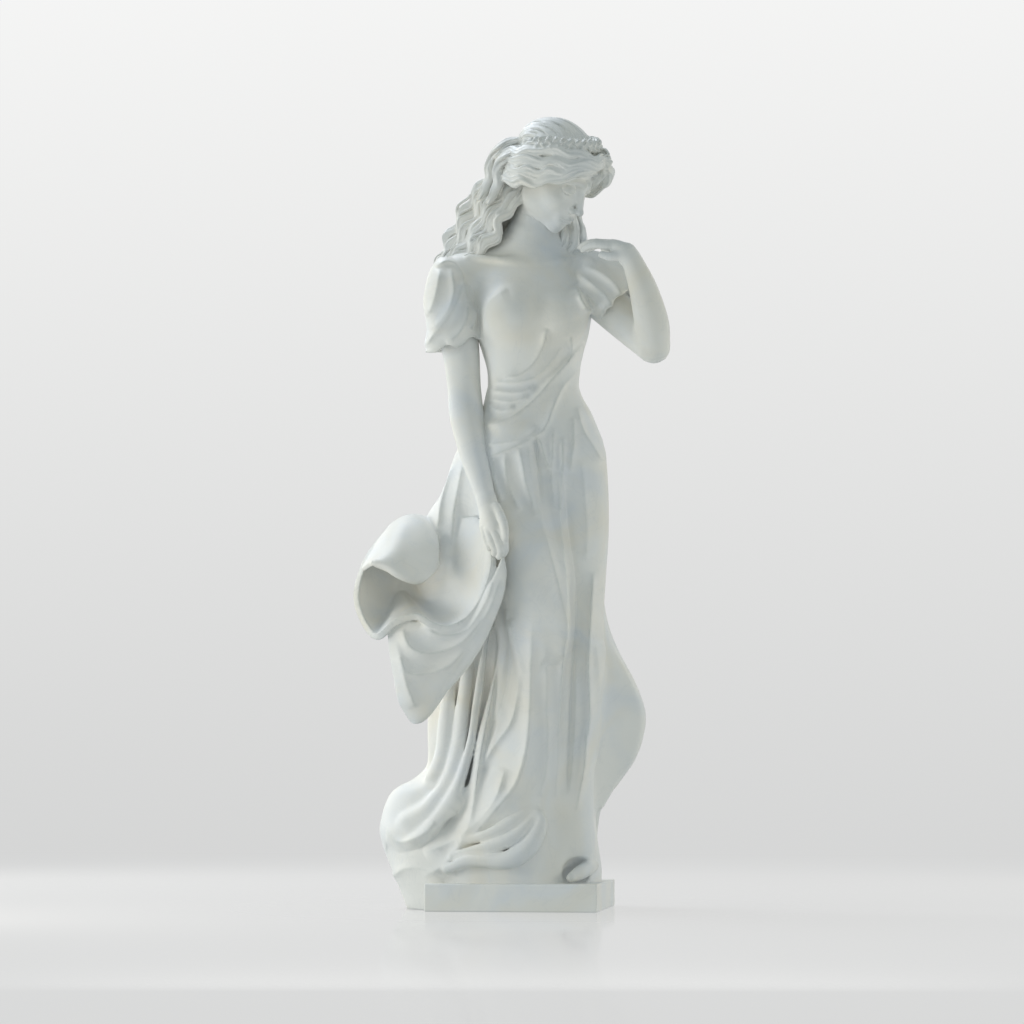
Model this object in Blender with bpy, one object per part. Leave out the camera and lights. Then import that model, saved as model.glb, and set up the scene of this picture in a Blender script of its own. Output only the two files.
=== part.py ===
"""A draped woman in marble on a low square plinth, carved from one block.

The figure is drawn facing the viewer, x to the viewer's right, y away and z up, then turned on its plinth.
"""

import bpy
import bmesh
import numpy as np
from math import cos, pi, radians, sin
from mathutils import Matrix, Vector

# Driving dimensions, metres
PLINTH_WIDTH = 0.362
PLINTH_DEPTH = 0.360
PLINTH_HEIGHT = 0.058
PLINTH_BEVEL = 0.004
FIGURE_TURN = radians(8)        # the figure faces a little to the side of the plinth's front
FIGURE_SHIFT = -0.025           # and stands a little off its middle
VIEWING_DISTANCE = 5.8          # nearer parts are drawn in toward eye level, for a viewer this far off
EYE_LEVEL = 0.25
CLOTH = 0.016                   # thickness of the free cloth
HEAD_PLACE = Vector((0.092, -0.045, 1.574))
HEAD_TURN = radians(58)
HEAD_BOW = radians(33)
BRAID_RADIUS = 0.014
LOCK_SWING = 0.0085             # how far each long lock swings aside
LOCK_WAVE = 0.062               # length of one swing to and fro

# How finely the block is worked
DRESS_VOXEL = 0.006
FIGURE_VOXEL = 0.005
FACETS = 9300
RINGS = 90
SIDES = 72
PATH_STEPS = 10                 # points on a path for each of its keys


def curve_through(keys, count):
    """Evenly numbered points on a smooth curve through the keys."""
    keys = np.asarray(keys, float)
    last = len(keys) - 1
    place = np.linspace(0, last, count)
    span = np.minimum(place.astype(int), last - 1)
    f = (place - span).reshape(-1, *([1] * (keys.ndim - 1)))
    padded = np.concatenate([[2 * keys[0] - keys[1]], keys, [2 * keys[-1] - keys[-2]]])
    a, b, c, d = (padded[span + i] for i in range(4))
    return 0.5 * (2 * b + (c - a) * f + (2 * a - 5 * b + 4 * c - d) * f**2 + (3 * b - a - 3 * c + d) * f**3)


def solid_of_rings(name, rings):
    """A closed solid skinned over rings of points, all with the same number of points."""
    shape = bmesh.new()
    loops = [[shape.verts.new(point) for point in ring] for ring in rings]
    for lower, upper in zip(loops, loops[1:]):
        for a, b, c, d in zip(lower, lower[1:] + lower[:1], upper[1:] + upper[:1], upper):
            shape.faces.new((a, b, c, d))
    shape.faces.new(loops[0][::-1])
    shape.faces.new(loops[-1])
    bmesh.ops.recalc_face_normals(shape, faces=shape.faces)
    return object_of(name, shape)


def object_of(name, shape):
    mesh = bpy.data.meshes.new(name)
    shape.to_mesh(mesh)
    shape.free()
    made = bpy.data.objects.new(name, mesh)
    bpy.context.scene.collection.objects.link(made)
    return made


def ball(name, place, radii, turn=Matrix.Identity(3)):
    shape = bmesh.new()
    bmesh.ops.create_uvsphere(shape, u_segments=32, v_segments=20, radius=1)
    squash = Matrix.Diagonal(Vector((*radii, 1)))
    bmesh.ops.transform(shape, matrix=Matrix.Translation(place) @ turn.to_4x4() @ squash, verts=shape.verts)
    return object_of(name, shape)


def limb(name, keys):
    """A round member through keys of x, y, z and radius, with domed ends."""
    path = curve_through(keys, PATH_STEPS * len(keys))
    domes = []
    for end, inner in ((path[0], path[1]), (path[-1], path[-2])):
        outward = (end[:3] - inner[:3]) / np.linalg.norm(end[:3] - inner[:3])
        rise = [0.5, 0.87]
        domes.append([np.append(end[:3] + outward * end[3] * h, end[3] * (1 - h * h) ** 0.5) for h in rise])
    path = np.concatenate([domes[0][::-1], path, domes[1]])
    curve = bpy.data.curves.new(name, "CURVE")
    curve.dimensions = "3D"
    curve.bevel_depth = 1
    curve.bevel_resolution = 4
    curve.use_fill_caps = True
    line = curve.splines.new("POLY")
    line.points.add(len(path) - 1)
    for point, (x, y, z, radius) in zip(line.points, path):
        point.co = (x, y, z, 1)
        point.radius = radius
    made = bpy.data.objects.new(name, curve)
    bpy.context.scene.collection.objects.link(made)
    return settled(made)


def settled(made):
    """Swap an object for a plain mesh of what its curve or modifiers give."""
    mesh = bpy.data.meshes.new_from_object(made.evaluated_get(bpy.context.evaluated_depsgraph_get()))
    plain = bpy.data.objects.new(made.name, mesh)
    bpy.context.scene.collection.objects.link(plain)
    bpy.data.objects.remove(made)
    return plain


def loft(name, levels, squareness=0.85):
    """A body through levels of height, left, right, front and back."""
    levels = np.asarray(sorted(levels), float)
    dense = curve_through(levels, 12 * len(levels))
    heights = np.linspace(levels[0, 0], levels[-1, 0], RINGS)
    left, right, front, back = (np.interp(heights, dense[:, 0], dense[:, i]) for i in range(1, 5))
    around = np.linspace(0, 2 * pi, SIDES, endpoint=False)
    across = np.sign(np.cos(around)) * np.abs(np.cos(around)) ** squareness
    deep = np.sign(np.sin(around)) * np.abs(np.sin(around)) ** squareness
    rings = []
    for i, height in enumerate(heights):
        x = (left[i] + right[i]) / 2 + (right[i] - left[i]) / 2 * across
        y = (front[i] + back[i]) / 2 + (back[i] - front[i]) / 2 * deep
        rings.append(np.stack([x, y, np.full(SIDES, height)], 1))
    return solid_of_rings(name, rings)


def sections(name, rows):
    """A body through rows of a height and the corners of its outline there."""
    corners = len(rows[0][1])
    keys = []
    for height, outline in rows:
        wrapped = [outline[-1], *outline, outline[0], outline[1]]
        fine = curve_through(wrapped, (corners + 2) * PATH_STEPS + 1)[PATH_STEPS:-PATH_STEPS - 1]
        keys.append(np.column_stack([fine, np.full(len(fine), height)]))
    return solid_of_rings(name, curve_through(keys, RINGS))


def sheet(name, rows, thickness):
    """Cloth through a grid of keys, made solid."""
    down = curve_through(rows, 30)
    grid = curve_through(down.transpose(1, 0, 2), 40).transpose(1, 0, 2)
    shape = bmesh.new()
    verts = [[shape.verts.new(point) for point in row] for row in grid]
    for above, below in zip(verts, verts[1:]):
        for a, b, c, d in zip(above, above[1:], below[1:], below):
            shape.faces.new((a, b, c, d))
    made = object_of(name, shape)
    return thickened(made, thickness)


def thickened(made, thickness):
    solidify = made.modifiers.new("Thickness", "SOLIDIFY")
    solidify.thickness = thickness
    solidify.offset = 0
    return settled(made)


def hollow(name, rim, middle, thickness, depth_curve=2.0):
    """Cloth that dips from a wavy rim to its middle, made solid."""
    turns = len(rim)
    wrapped = [*rim[-2:], *rim, *rim[:3]]
    edge = curve_through(wrapped, (turns + 4) * 8 + 1)[16:-16 - 8]
    middle = np.asarray(middle)
    shape = bmesh.new()
    loops = []
    for reach in np.linspace(1, 0.06, 14):
        ring = middle + (edge - middle) * reach
        ring[:, 1] = middle[1] + (edge[:, 1] - middle[1]) * reach**depth_curve
        loops.append([shape.verts.new(point) for point in ring])
    for outer, inner in zip(loops, loops[1:]):
        for a, b, c, d in zip(outer, outer[1:] + outer[:1], inner[1:] + inner[:1], inner):
            shape.faces.new((a, b, c, d))
    shape.faces.new(loops[-1])
    return thickened(object_of(name, shape), thickness)


def joined(name, pieces):
    """Several objects as one, not yet united."""
    shape = bmesh.new()
    for piece in pieces:
        shape.from_mesh(piece.data)
        bpy.data.objects.remove(piece)
    return object_of(name, shape)


def carved(name, pieces, voxel, rounds):
    """Several overlapping solids united into one smooth skin."""
    block = joined(name, pieces)
    remesh = block.modifiers.new("Unite", "REMESH")
    remesh.mode = "VOXEL"
    remesh.voxel_size = voxel
    smooth = block.modifiers.new("Soften", "SMOOTH")
    smooth.iterations = rounds
    return settled(block)


def fold_height(x, z, folds):
    """Height of the carved folds over each place x, z."""
    total = np.zeros(len(x))
    for line, height, left_width, right_width in folds:
        path = curve_through(line, 8 * len(line))
        steps = np.linspace(0, 1, len(path))
        swell = np.clip(np.minimum(steps, 1 - steps) / 0.15, 0, 1) ** 0.7
        nearest = np.full(len(x), 9.0)
        side = np.zeros(len(x))
        level = np.zeros(len(x))
        for start, end, rise in zip(path, path[1:], swell):
            run = end - start
            along = np.clip(((x - start[0]) * run[0] + (z - start[1]) * run[1]) / (run @ run), 0, 1)
            dx = x - start[0] - along * run[0]
            dz = z - start[1] - along * run[1]
            distance = np.hypot(dx, dz)
            closer = distance < nearest
            nearest = np.where(closer, distance, nearest)
            side = np.where(closer, run[0] * dz - run[1] * dx, side)
            level = np.where(closer, rise, level)
        width = np.where(side > 0, left_width, right_width)
        total += height * level * np.exp(-nearest / width)
    return total


def press_folds(body, folds, facing):
    """Raise folds on the side of a body that faces the viewer (-1) or away (+1)."""
    count = len(body.data.vertices)
    points = np.empty(count * 3)
    normals = np.empty(count * 3)
    body.data.vertices.foreach_get("co", points)
    body.data.vertices.foreach_get("normal", normals)
    points = points.reshape(-1, 3)
    normals = normals.reshape(-1, 3)
    turned = np.clip(normals[:, 1] * facing * 2, 0, 1)
    points += normals * (fold_height(points[:, 0], points[:, 2], folds) * turned)[:, None]
    body.data.vertices.foreach_set("co", points.ravel())


def head_axes():
    """Columns: toward the figure's left ear, the back of the head and the crown."""
    forward = Vector((cos(HEAD_BOW) * sin(HEAD_TURN), -cos(HEAD_BOW) * cos(HEAD_TURN), -sin(HEAD_BOW)))
    ear = Vector((cos(HEAD_TURN), sin(HEAD_TURN), 0))
    return Matrix((ear, -forward, ear.cross(-forward))).transposed()


def on_head(*place):
    return HEAD_PLACE + head_axes() @ Vector(place)


def head_limb(name, keys):
    return limb(name, [(*on_head(x, y, z), radius) for x, y, z, radius in keys])


def skirt():
    front_drape = [
        (1.10, -0.045, 0.145, -0.078, 0.082), (1.06, -0.058, 0.172, -0.090, 0.095),
        (1.01, -0.085, 0.192, -0.108, 0.120), (0.95, -0.108, 0.202, -0.116, 0.142),
        (0.88, -0.110, 0.206, -0.114, 0.155), (0.80, -0.095, 0.206, -0.108, 0.158),
        (0.72, -0.070, 0.199, -0.104, 0.155), (0.64, -0.046, 0.188, -0.100, 0.150),
        (0.56, -0.036, 0.184, -0.096, 0.150), (0.47, -0.042, 0.180, -0.094, 0.150),
        (0.38, -0.062, 0.176, -0.100, 0.155), (0.30, -0.088, 0.174, -0.108, 0.160),
        (0.22, -0.125, 0.178, -0.120, 0.165), (0.14, -0.165, 0.188, -0.136, 0.172),
        (0.08, -0.185, 0.198, -0.148, 0.176), (0.03, -0.185, 0.194, -0.150, 0.176)]
    back_drape = [
        (1.02, -0.080, 0.150, -0.040, 0.118), (0.95, -0.106, 0.160, -0.040, 0.140),
        (0.88, -0.128, 0.170, -0.045, 0.152), (0.80, -0.146, 0.170, -0.040, 0.160),
        (0.70, -0.155, 0.170, -0.030, 0.165), (0.60, -0.160, 0.165, -0.020, 0.168),
        (0.50, -0.166, 0.160, -0.010, 0.170), (0.40, -0.172, 0.160, -0.010, 0.174),
        (0.30, -0.166, 0.168, -0.022, 0.184), (0.20, -0.180, 0.172, -0.060, 0.191),
        (0.04, -0.186, 0.176, -0.100, 0.189)]
    train = [
        (0.300, -0.165, -0.060, -0.016, 0.120), (0.276, -0.205, -0.040, -0.028, 0.124),
        (0.262, -0.236, -0.030, -0.040, 0.128), (0.245, -0.256, -0.020, -0.050, 0.132),
        (0.195, -0.275, 0.000, -0.070, 0.136), (0.165, -0.279, 0.000, -0.082, 0.136),
        (0.130, -0.271, 0.000, -0.096, 0.134), (0.08, -0.252, 0.010, -0.112, 0.130),
        (0.02, -0.228, 0.020, -0.116, 0.126), (-0.03, -0.210, 0.020, -0.114, 0.122)]
    inner = (0.090, 0.080)
    billow = [
        (0.76, [(0.140, -0.020), (0.176, 0.000), (0.189, 0.040), (0.160, 0.110), inner]),
        (0.68, [(0.140, -0.035), (0.178, -0.014), (0.193, 0.040), (0.166, 0.120), inner]),
        (0.61, [(0.140, -0.045), (0.182, -0.022), (0.205, 0.038), (0.172, 0.130), inner]),
        (0.55, [(0.140, -0.048), (0.190, -0.022), (0.228, 0.046), (0.180, 0.140), inner]),
        (0.48, [(0.140, -0.045), (0.196, -0.020), (0.264, 0.048), (0.192, 0.150), inner]),
        (0.42, [(0.140, -0.040), (0.202, -0.016), (0.284, 0.050), (0.200, 0.160), inner]),
        (0.37, [(0.140, -0.034), (0.202, -0.008), (0.281, 0.052), (0.198, 0.164), inner]),
        (0.32, [(0.140, -0.024), (0.198, 0.006), (0.264, 0.058), (0.192, 0.160), inner]),
        (0.27, [(0.140, -0.010), (0.186, 0.016), (0.231, 0.062), (0.180, 0.152), inner]),
        (0.215, [(0.130, 0.000), (0.172, 0.024), (0.197, 0.066), (0.168, 0.140), inner])]
    return [loft("Front_drape", front_drape), loft("Back_drape", back_drape), loft("Train", train),
            sections("Billow", billow)]


def legs_and_hip():
    right_leg = [
        (0.020, -0.030, 0.980, 0.070), (0.010, -0.045, 0.900, 0.078), (0.024, -0.062, 0.800, 0.080),
        (0.046, -0.082, 0.700, 0.074), (0.068, -0.100, 0.570, 0.058), (0.048, -0.074, 0.400, 0.052),
        (0.010, -0.066, 0.200, 0.060)]
    left_leg = [
        (0.115, -0.016, 0.960, 0.085), (0.128, -0.030, 0.860, 0.080), (0.140, -0.044, 0.640, 0.060),
        (0.140, -0.044, 0.460, 0.050), (0.130, -0.052, 0.220, 0.046), (0.130, -0.060, 0.120, 0.050)]
    hip_cloth = [
        (-0.060, 0.020, 0.980, 0.046), (-0.078, 0.010, 0.930, 0.050), (-0.092, 0.000, 0.870, 0.056),
        (-0.118, 0.000, 0.800, 0.068), (-0.135, 0.000, 0.720, 0.074), (-0.140, -0.010, 0.560, 0.045)]
    return [limb("Right_leg", right_leg), limb("Left_leg", left_leg), limb("Hip_cloth", hip_cloth)]


def torso():
    bodice = [
        (1.00, -0.080, 0.178, -0.095, 0.110), (1.05, -0.062, 0.165, -0.084, 0.092),
        (1.09, -0.050, 0.149, -0.078, 0.082), (1.14, -0.048, 0.148, -0.080, 0.080),
        (1.19, -0.054, 0.155, -0.088, 0.086), (1.24, -0.066, 0.168, -0.096, 0.092),
        (1.29, -0.070, 0.172, -0.094, 0.096), (1.34, -0.060, 0.160, -0.080, 0.094),
        (1.37, -0.044, 0.140, -0.068, 0.086), (1.40, -0.018, 0.118, -0.055, 0.074),
        (1.43, 0.000, 0.100, -0.046, 0.060), (1.455, 0.006, 0.094, -0.040, 0.050)]
    shoulders = [(-0.105, 0.012, 1.350, 0.052), (0.045, 0.020, 1.366, 0.058), (0.165, 0.020, 1.345, 0.052)]
    neck = [
        (0.048, 0.010, 1.400, 0.060), (0.050, 0.006, 1.440, 0.052), (0.056, -0.002, 1.485, 0.048),
        (0.072, -0.010, 1.535, 0.049)]
    pieces = [loft("Bodice", bodice, 1.0), limb("Shoulders", shoulders), limb("Neck", neck)]
    for x, nape in ((-0.080, -1), (0.160, 1)):
        slope = [
            (x, 0.025, 1.365, 0.034), (0.045 + nape * 0.050, 0.022, 1.398, 0.037), (0.048, 0.012, 1.440, 0.038)]
        pieces.append(limb("Shoulder_slope", slope))
    for x, z in ((0.010, 1.272), (0.112, 1.268)):
        pieces.append(ball("Breast", (x, -0.066, z), (0.056, 0.052, 0.056)))
    return pieces


def dress_folds():
    """Lines of the front folds as x, z with a height and the widths to either side."""
    thigh_edge = (
        [(.036, 1.005), (.043, .940), (.058, .862), (.090, .744), (.122, .590), (.115, .535)], .008, .030, .007)
    between_legs = (
        [(.100, .930), (.110, .808), (.122, .700), (.122, .611), (.105, .372), (.096, .227)], .012, .010, .010)
    left_leg = ([(.178, .720), (.168, .526), (.171, .415), (.157, .290), (.140, .205)], .011, .011, .011)
    shin = ([(.040, .500), (.028, .348), (.006, .259), (-.034, .184), (-.115, .126)], .012, .013, .013)
    calf = ([(-.028, .560), (-.060, .349), (-.092, .169), (-.137, .098), (-.186, .066)], .012, .013, .013)
    sweep = ([(-.010, .300), (-.080, .175), (-.130, .140), (-.185, .118)], .011, .012, .012)
    sash_top = ([(.160, 1.212), (.083, 1.125), (.036, 1.075), (-.028, 1.039), (-.060, 1.033)], .009, .005, .022)
    sash_foot = ([(.150, 1.155), (.110, 1.110), (.058, 1.013), (-.024, .975), (-.060, .962)], .007, .016, .005)
    pleats = [([(x, top), (x, 0.92), (x - 0.003, 0.85)], .005, .007, .007)
              for x, top in ((.020, .985), (.070, 1.0), (.125, 1.03))]
    return [thigh_edge, between_legs, left_leg, shin, calf, sweep, sash_top, sash_foot, *pleats]


def back_folds():
    """Long flutes down the back of the skirt."""
    folds = []
    for i, x in enumerate(np.linspace(-0.12, 0.16, 7)):
        sway = -0.04 if x < 0.05 else -0.015
        line = [(x * 0.75 + 0.012, 0.98), (x, 0.78), (x * 1.03 + sway * 0.3, 0.50), (x * 1.06 + sway, 0.07)]
        folds.append((line, 0.012 if i % 2 else 0.009, 0.013, 0.013))
    return folds


def long_sweeps():
    """Rounded folds between the front drape and the train."""
    keys = [
        [(-0.050, -0.050, 0.540, 0.010), (-0.066, -0.050, 0.440, 0.014), (-0.080, -0.060, 0.350, 0.016),
         (-0.104, -0.072, 0.265, 0.019), (-0.145, -0.078, 0.195, 0.022), (-0.195, -0.070, 0.140, 0.024)],
        [(-0.090, -0.020, 0.520, 0.012), (-0.100, -0.022, 0.430, 0.016), (-0.108, -0.035, 0.345, 0.018),
         (-0.130, -0.050, 0.270, 0.020), (-0.170, -0.055, 0.212, 0.024), (-0.212, -0.045, 0.180, 0.028)]]
    return [limb("Sweep", line) for line in keys]


def sleeves():
    hanging = [
        (1.392, -0.152, -0.118, -0.006, 0.030), (1.375, -0.166, -0.104, -0.030, 0.046),
        (1.345, -0.178, -0.086, -0.048, 0.058), (1.300, -0.185, -0.072, -0.056, 0.064),
        (1.260, -0.180, -0.062, -0.058, 0.064), (1.225, -0.176, -0.058, -0.060, 0.062),
        (1.200, -0.180, -0.066, -0.062, 0.060)]
    raised = [
        (0.140, 0.004, 1.372, 0.042), (0.172, -0.012, 1.354, 0.056), (0.203, -0.034, 1.330, 0.063),
        (0.225, -0.050, 1.304, 0.056)]
    return [loft("Right_sleeve", hanging, 1.0), limb("Left_sleeve", raised)]


def arms():
    hanging = [
        (-0.112, 0.005, 1.325, 0.048), (-0.113, 0.000, 1.250, 0.045), (-0.104, -0.005, 1.180, 0.039),
        (-0.098, -0.012, 1.110, 0.036), (-0.092, -0.040, 1.050, 0.037), (-0.076, -0.085, 0.970, 0.031),
        (-0.058, -0.128, 0.900, 0.0225), (-0.042, -0.154, 0.845, 0.021), (-0.030, -0.168, 0.805, 0.018)]
    upper = [(0.165, 0.000, 1.335, 0.048), (0.215, -0.030, 1.285, 0.044), (0.300, -0.086, 1.208, 0.037)]
    lower = [
        (0.309, -0.092, 1.199, 0.033), (0.303, -0.118, 1.250, 0.037), (0.286, -0.140, 1.320, 0.031),
        (0.264, -0.150, 1.378, 0.023), (0.250, -0.150, 1.402, 0.0215)]
    return [limb("Right_arm", hanging), limb("Left_upper_arm", upper), limb("Left_forearm", lower)]


def hands():
    raised_palm = [(0.250, -0.146, 1.398, 0.022), (0.226, -0.134, 1.415, 0.020), (0.206, -0.125, 1.418, 0.015)]
    pieces = [limb("Left_palm", raised_palm)]
    for i, reach in enumerate((0.058, 0.062, 0.058, 0.046)):
        y = -0.148 + 0.015 * i
        finger = [
            (0.208, y, 1.418, 0.0095), (0.208 - reach * 0.5, y + 0.002, 1.422, 0.0085),
            (0.208 - reach, y + 0.014, 1.408, 0.0065)]
        pieces.append(limb("Left_finger", finger))
    for i in range(4):
        x = -0.024 - 0.011 * i
        y = -0.178 + 0.005 * i
        finger = [
            (x, y, 0.812, 0.010), (x + 0.008, y - 0.008, 0.786, 0.009), (x + 0.006, y + 0.006, 0.756, 0.0075)]
        pieces.append(limb("Right_finger", finger))
    thumb = [(-0.030, -0.165, 0.858, 0.011), (-0.014, -0.186, 0.826, 0.009), (-0.010, -0.190, 0.792, 0.0075)]
    pieces.append(limb("Right_thumb", thumb))
    return pieces


def head():
    axes = head_axes()
    return [
        ball("Skull", on_head(0, 0.012, 0.030), (0.069, 0.087, 0.077), axes),
        ball("Face", on_head(0, -0.028, -0.030), (0.056, 0.060, 0.074), axes),
        ball("Jaw", on_head(0, -0.014, -0.060), (0.048, 0.062, 0.040), axes),
        ball("Chin", on_head(0, -0.064, -0.090), (0.019, 0.020, 0.018), axes),
        head_limb("Nose", [(0, -0.078, 0.014, 0.009), (0, -0.098, -0.033, 0.011)]),
        ball("Lips", on_head(0, -0.078, -0.064), (0.022, 0.016, 0.014), axes)]


def hair():
    pieces = [ball("Cap", on_head(0, 0.010, 0.034), (0.080, 0.096, 0.086), head_axes())]
    braid = [
        (0.060, 0.076, -0.006), (0.078, 0.042, 0.028), (0.080, 0.000, 0.052), (0.060, -0.048, 0.072),
        (0.022, -0.076, 0.084), (-0.020, -0.077, 0.085), (-0.058, -0.050, 0.076), (-0.080, -0.004, 0.058),
        (-0.079, 0.045, 0.026), (-0.062, 0.080, -0.006), (-0.044, 0.096, -0.034)]
    pieces.append(head_limb("Braid", [(*place, BRAID_RADIUS) for place in braid]))
    for side in (-1, 1):
        for drop in (0, 0.5, 1):
            strand = [
                (side * 0.006, -0.086, 0.086 - 0.010 * drop, 0.008),
                (side * 0.036, -0.076, 0.078 - 0.030 * drop, 0.011),
                (side * 0.064, -0.042, 0.064 - 0.046 * drop, 0.013),
                (side * 0.076, 0.000, 0.046 - 0.054 * drop, 0.014),
                (side * 0.078, 0.038, 0.026 - 0.056 * drop, 0.014),
                (side * 0.062, 0.078, 0.002 - 0.044 * drop, 0.013),
                (side * 0.034, 0.104, -0.020 - 0.034 * drop, 0.012)]
            pieces.append(head_limb("Temple_strand", strand))
    pieces.append(ball("Knot", on_head(-0.014, 0.102, -0.044), (0.042, 0.040, 0.048), head_axes()))
    mass = [
        (-0.016, 0.034, 1.571, 0.032), (-0.050, 0.046, 1.507, 0.034), (-0.066, 0.058, 1.432, 0.036),
        (-0.064, 0.076, 1.336, 0.034), (-0.051, 0.082, 1.250, 0.022)]
    pieces.append(limb("Hair_down_the_back", mass))
    return pieces + locks()


def locks():
    """Long waved locks, each a start, a middle and an end."""
    lines = [
        [(-0.022, 0.022, 1.604, 0.014), (-0.064, 0.040, 1.535, 0.016), (-0.093, 0.044, 1.497, 0.016),
         (-0.130, 0.048, 1.424, 0.015), (-0.148, 0.046, 1.380, 0.012), (-0.168, 0.038, 1.342, 0.007)],
        [(-0.014, 0.004, 1.592, 0.014), (-0.050, 0.014, 1.515, 0.016), (-0.078, 0.020, 1.477, 0.016),
         (-0.114, 0.028, 1.411, 0.014), (-0.138, 0.032, 1.368, 0.007)],
        [(-0.006, -0.014, 1.572, 0.014), (-0.038, -0.010, 1.495, 0.015), (-0.062, -0.004, 1.457, 0.015),
         (-0.098, 0.010, 1.400, 0.012), (-0.128, 0.020, 1.366, 0.007)],
        [(0.006, -0.030, 1.552, 0.013), (-0.024, -0.030, 1.473, 0.014), (-0.048, -0.020, 1.437, 0.014),
         (-0.084, -0.004, 1.390, 0.011), (-0.120, 0.008, 1.362, 0.006)]]
    for i in range(5):
        x = -0.100 + 0.042 * i
        lines.append([
            (0.4 * x, 0.030, 1.580, 0.013), (x, 0.062, 1.470, 0.014),
            (x - 0.008, 0.092, 1.350, 0.013), (x, 0.100, 1.230 - 0.02 * (i % 2), 0.007)])
    for i, depth in enumerate((-0.066, -0.012)):
        lines.append([
            (0.190 - 0.010 * i, depth - 0.020, 1.604, 0.010), (0.209 - 0.012 * i, depth, 1.565, 0.013),
            (0.196 - 0.034 * i, depth + 0.006, 1.525 - 0.06 * i, 0.008)])
    return [limb("Lock", waved(line, 1.3 * i)) for i, line in enumerate(lines)]


def waved(line, phase):
    """Swing a line from side to side across the view as it runs."""
    path = curve_through(line, 14)
    run = np.append(0, np.cumsum(np.linalg.norm(np.diff(path[:, :3], axis=0), axis=1)))
    swing = LOCK_SWING * np.sin(2 * pi * run / LOCK_WAVE + phase) * np.clip(run / 0.02, 0, 1)
    heading = np.gradient(path[:, :3], axis=0)
    heading /= np.linalg.norm(heading, axis=1)[:, None]
    path[:, :3] += np.cross(heading, (0, -1, 0)) * swing[:, None]
    return path


def thrown_cloth():
    """The skirt's edge held out in the right hand: a deep hollow, a turned-over flap and a hanging corner."""
    rim = [
        (-0.034, -0.168, 0.755), (-0.050, -0.166, 0.680), (-0.085, -0.168, 0.622), (-0.132, -0.172, 0.598),
        (-0.168, -0.176, 0.606), (-0.200, -0.172, 0.623), (-0.245, -0.166, 0.610), (-0.286, -0.150, 0.578),
        (-0.320, -0.125, 0.610), (-0.334, -0.100, 0.668), (-0.316, -0.066, 0.735), (-0.278, -0.036, 0.792),
        (-0.236, -0.016, 0.832), (-0.200, -0.010, 0.838), (-0.160, -0.020, 0.815), (-0.110, -0.050, 0.830),
        (-0.060, -0.110, 0.830)]
    flap = [
        [(-0.316, -0.086, 0.722), (-0.292, -0.052, 0.760), (-0.257, -0.022, 0.816), (-0.221, -0.008, 0.838),
         (-0.163, -0.016, 0.824)],
        [(-0.308, -0.112, 0.728), (-0.278, -0.098, 0.762), (-0.244, -0.078, 0.800), (-0.212, -0.062, 0.815),
         (-0.157, -0.056, 0.800)],
        [(-0.300, -0.130, 0.736), (-0.270, -0.134, 0.748), (-0.238, -0.128, 0.760), (-0.206, -0.114, 0.765),
         (-0.152, -0.088, 0.772)],
        [(-0.296, -0.136, 0.741), (-0.264, -0.142, 0.731), (-0.236, -0.142, 0.714), (-0.202, -0.130, 0.704),
         (-0.154, -0.097, 0.746)]]
    corner = [
        [(-0.262, -0.140, 0.600), (-0.205, -0.158, 0.615), (-0.140, -0.160, 0.600), (-0.080, -0.160, 0.632),
         (-0.014, -0.175, 0.760)],
        [(-0.258, -0.135, 0.560), (-0.210, -0.145, 0.555), (-0.150, -0.140, 0.550), (-0.090, -0.148, 0.590),
         (-0.008, -0.172, 0.705)],
        [(-0.247, -0.125, 0.500), (-0.215, -0.138, 0.500), (-0.170, -0.135, 0.500), (-0.110, -0.140, 0.545),
         (-0.034, -0.160, 0.625)],
        [(-0.238, -0.115, 0.440), (-0.212, -0.128, 0.445), (-0.185, -0.130, 0.450), (-0.135, -0.131, 0.495),
         (-0.062, -0.145, 0.558)],
        [(-0.206, -0.105, 0.394), (-0.200, -0.112, 0.392), (-0.194, -0.118, 0.392), (-0.170, -0.120, 0.420),
         (-0.105, -0.128, 0.512)]]
    return [
        hollow("Hollow", rim, (-0.235, -0.005, 0.685), CLOTH, 1.5),
        sheet("Flap", flap, CLOTH),
        sheet("Corner", corner, CLOTH)]


def hem():
    """The curled hem in front and the rough ground beside it."""
    rim = [
        (-0.092, -0.176, 0.086), (-0.056, -0.186, 0.088), (-0.015, -0.192, 0.080), (0.030, -0.190, 0.098),
        (0.060, -0.182, 0.138), (0.074, -0.172, 0.172), (0.070, -0.162, 0.196), (0.051, -0.158, 0.214),
        (0.028, -0.160, 0.198), (0.002, -0.166, 0.170), (-0.040, -0.172, 0.130), (-0.080, -0.175, 0.104)]
    curl = hollow("Hem_curl", rim, (0.0, -0.145, 0.135), CLOTH)
    ground = limb("Ground", [
        (-0.06, -0.130, 0.050, 0.034), (0.06, -0.120, 0.060, 0.036),
        (0.150, -0.080, 0.070, 0.036), (0.178, 0.020, 0.080, 0.032)])
    return [curl, ground]


def figure():
    dress = carved("Dress", skirt() + legs_and_hip() + torso(), DRESS_VOXEL, 6)
    press_folds(dress, dress_folds(), -1)
    press_folds(dress, back_folds(), 1)
    rest = long_sweeps() + sleeves() + arms() + hands() + head() + hair() + thrown_cloth() + hem()
    whole = carved("Figure", [dress, *rest], FIGURE_VOXEL, 3)
    decimate = whole.modifiers.new("Facets", "DECIMATE")
    decimate.ratio = FACETS / (2 * len(whole.data.polygons))
    whole = settled(whole)
    stand(whole.data)
    return whole


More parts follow.
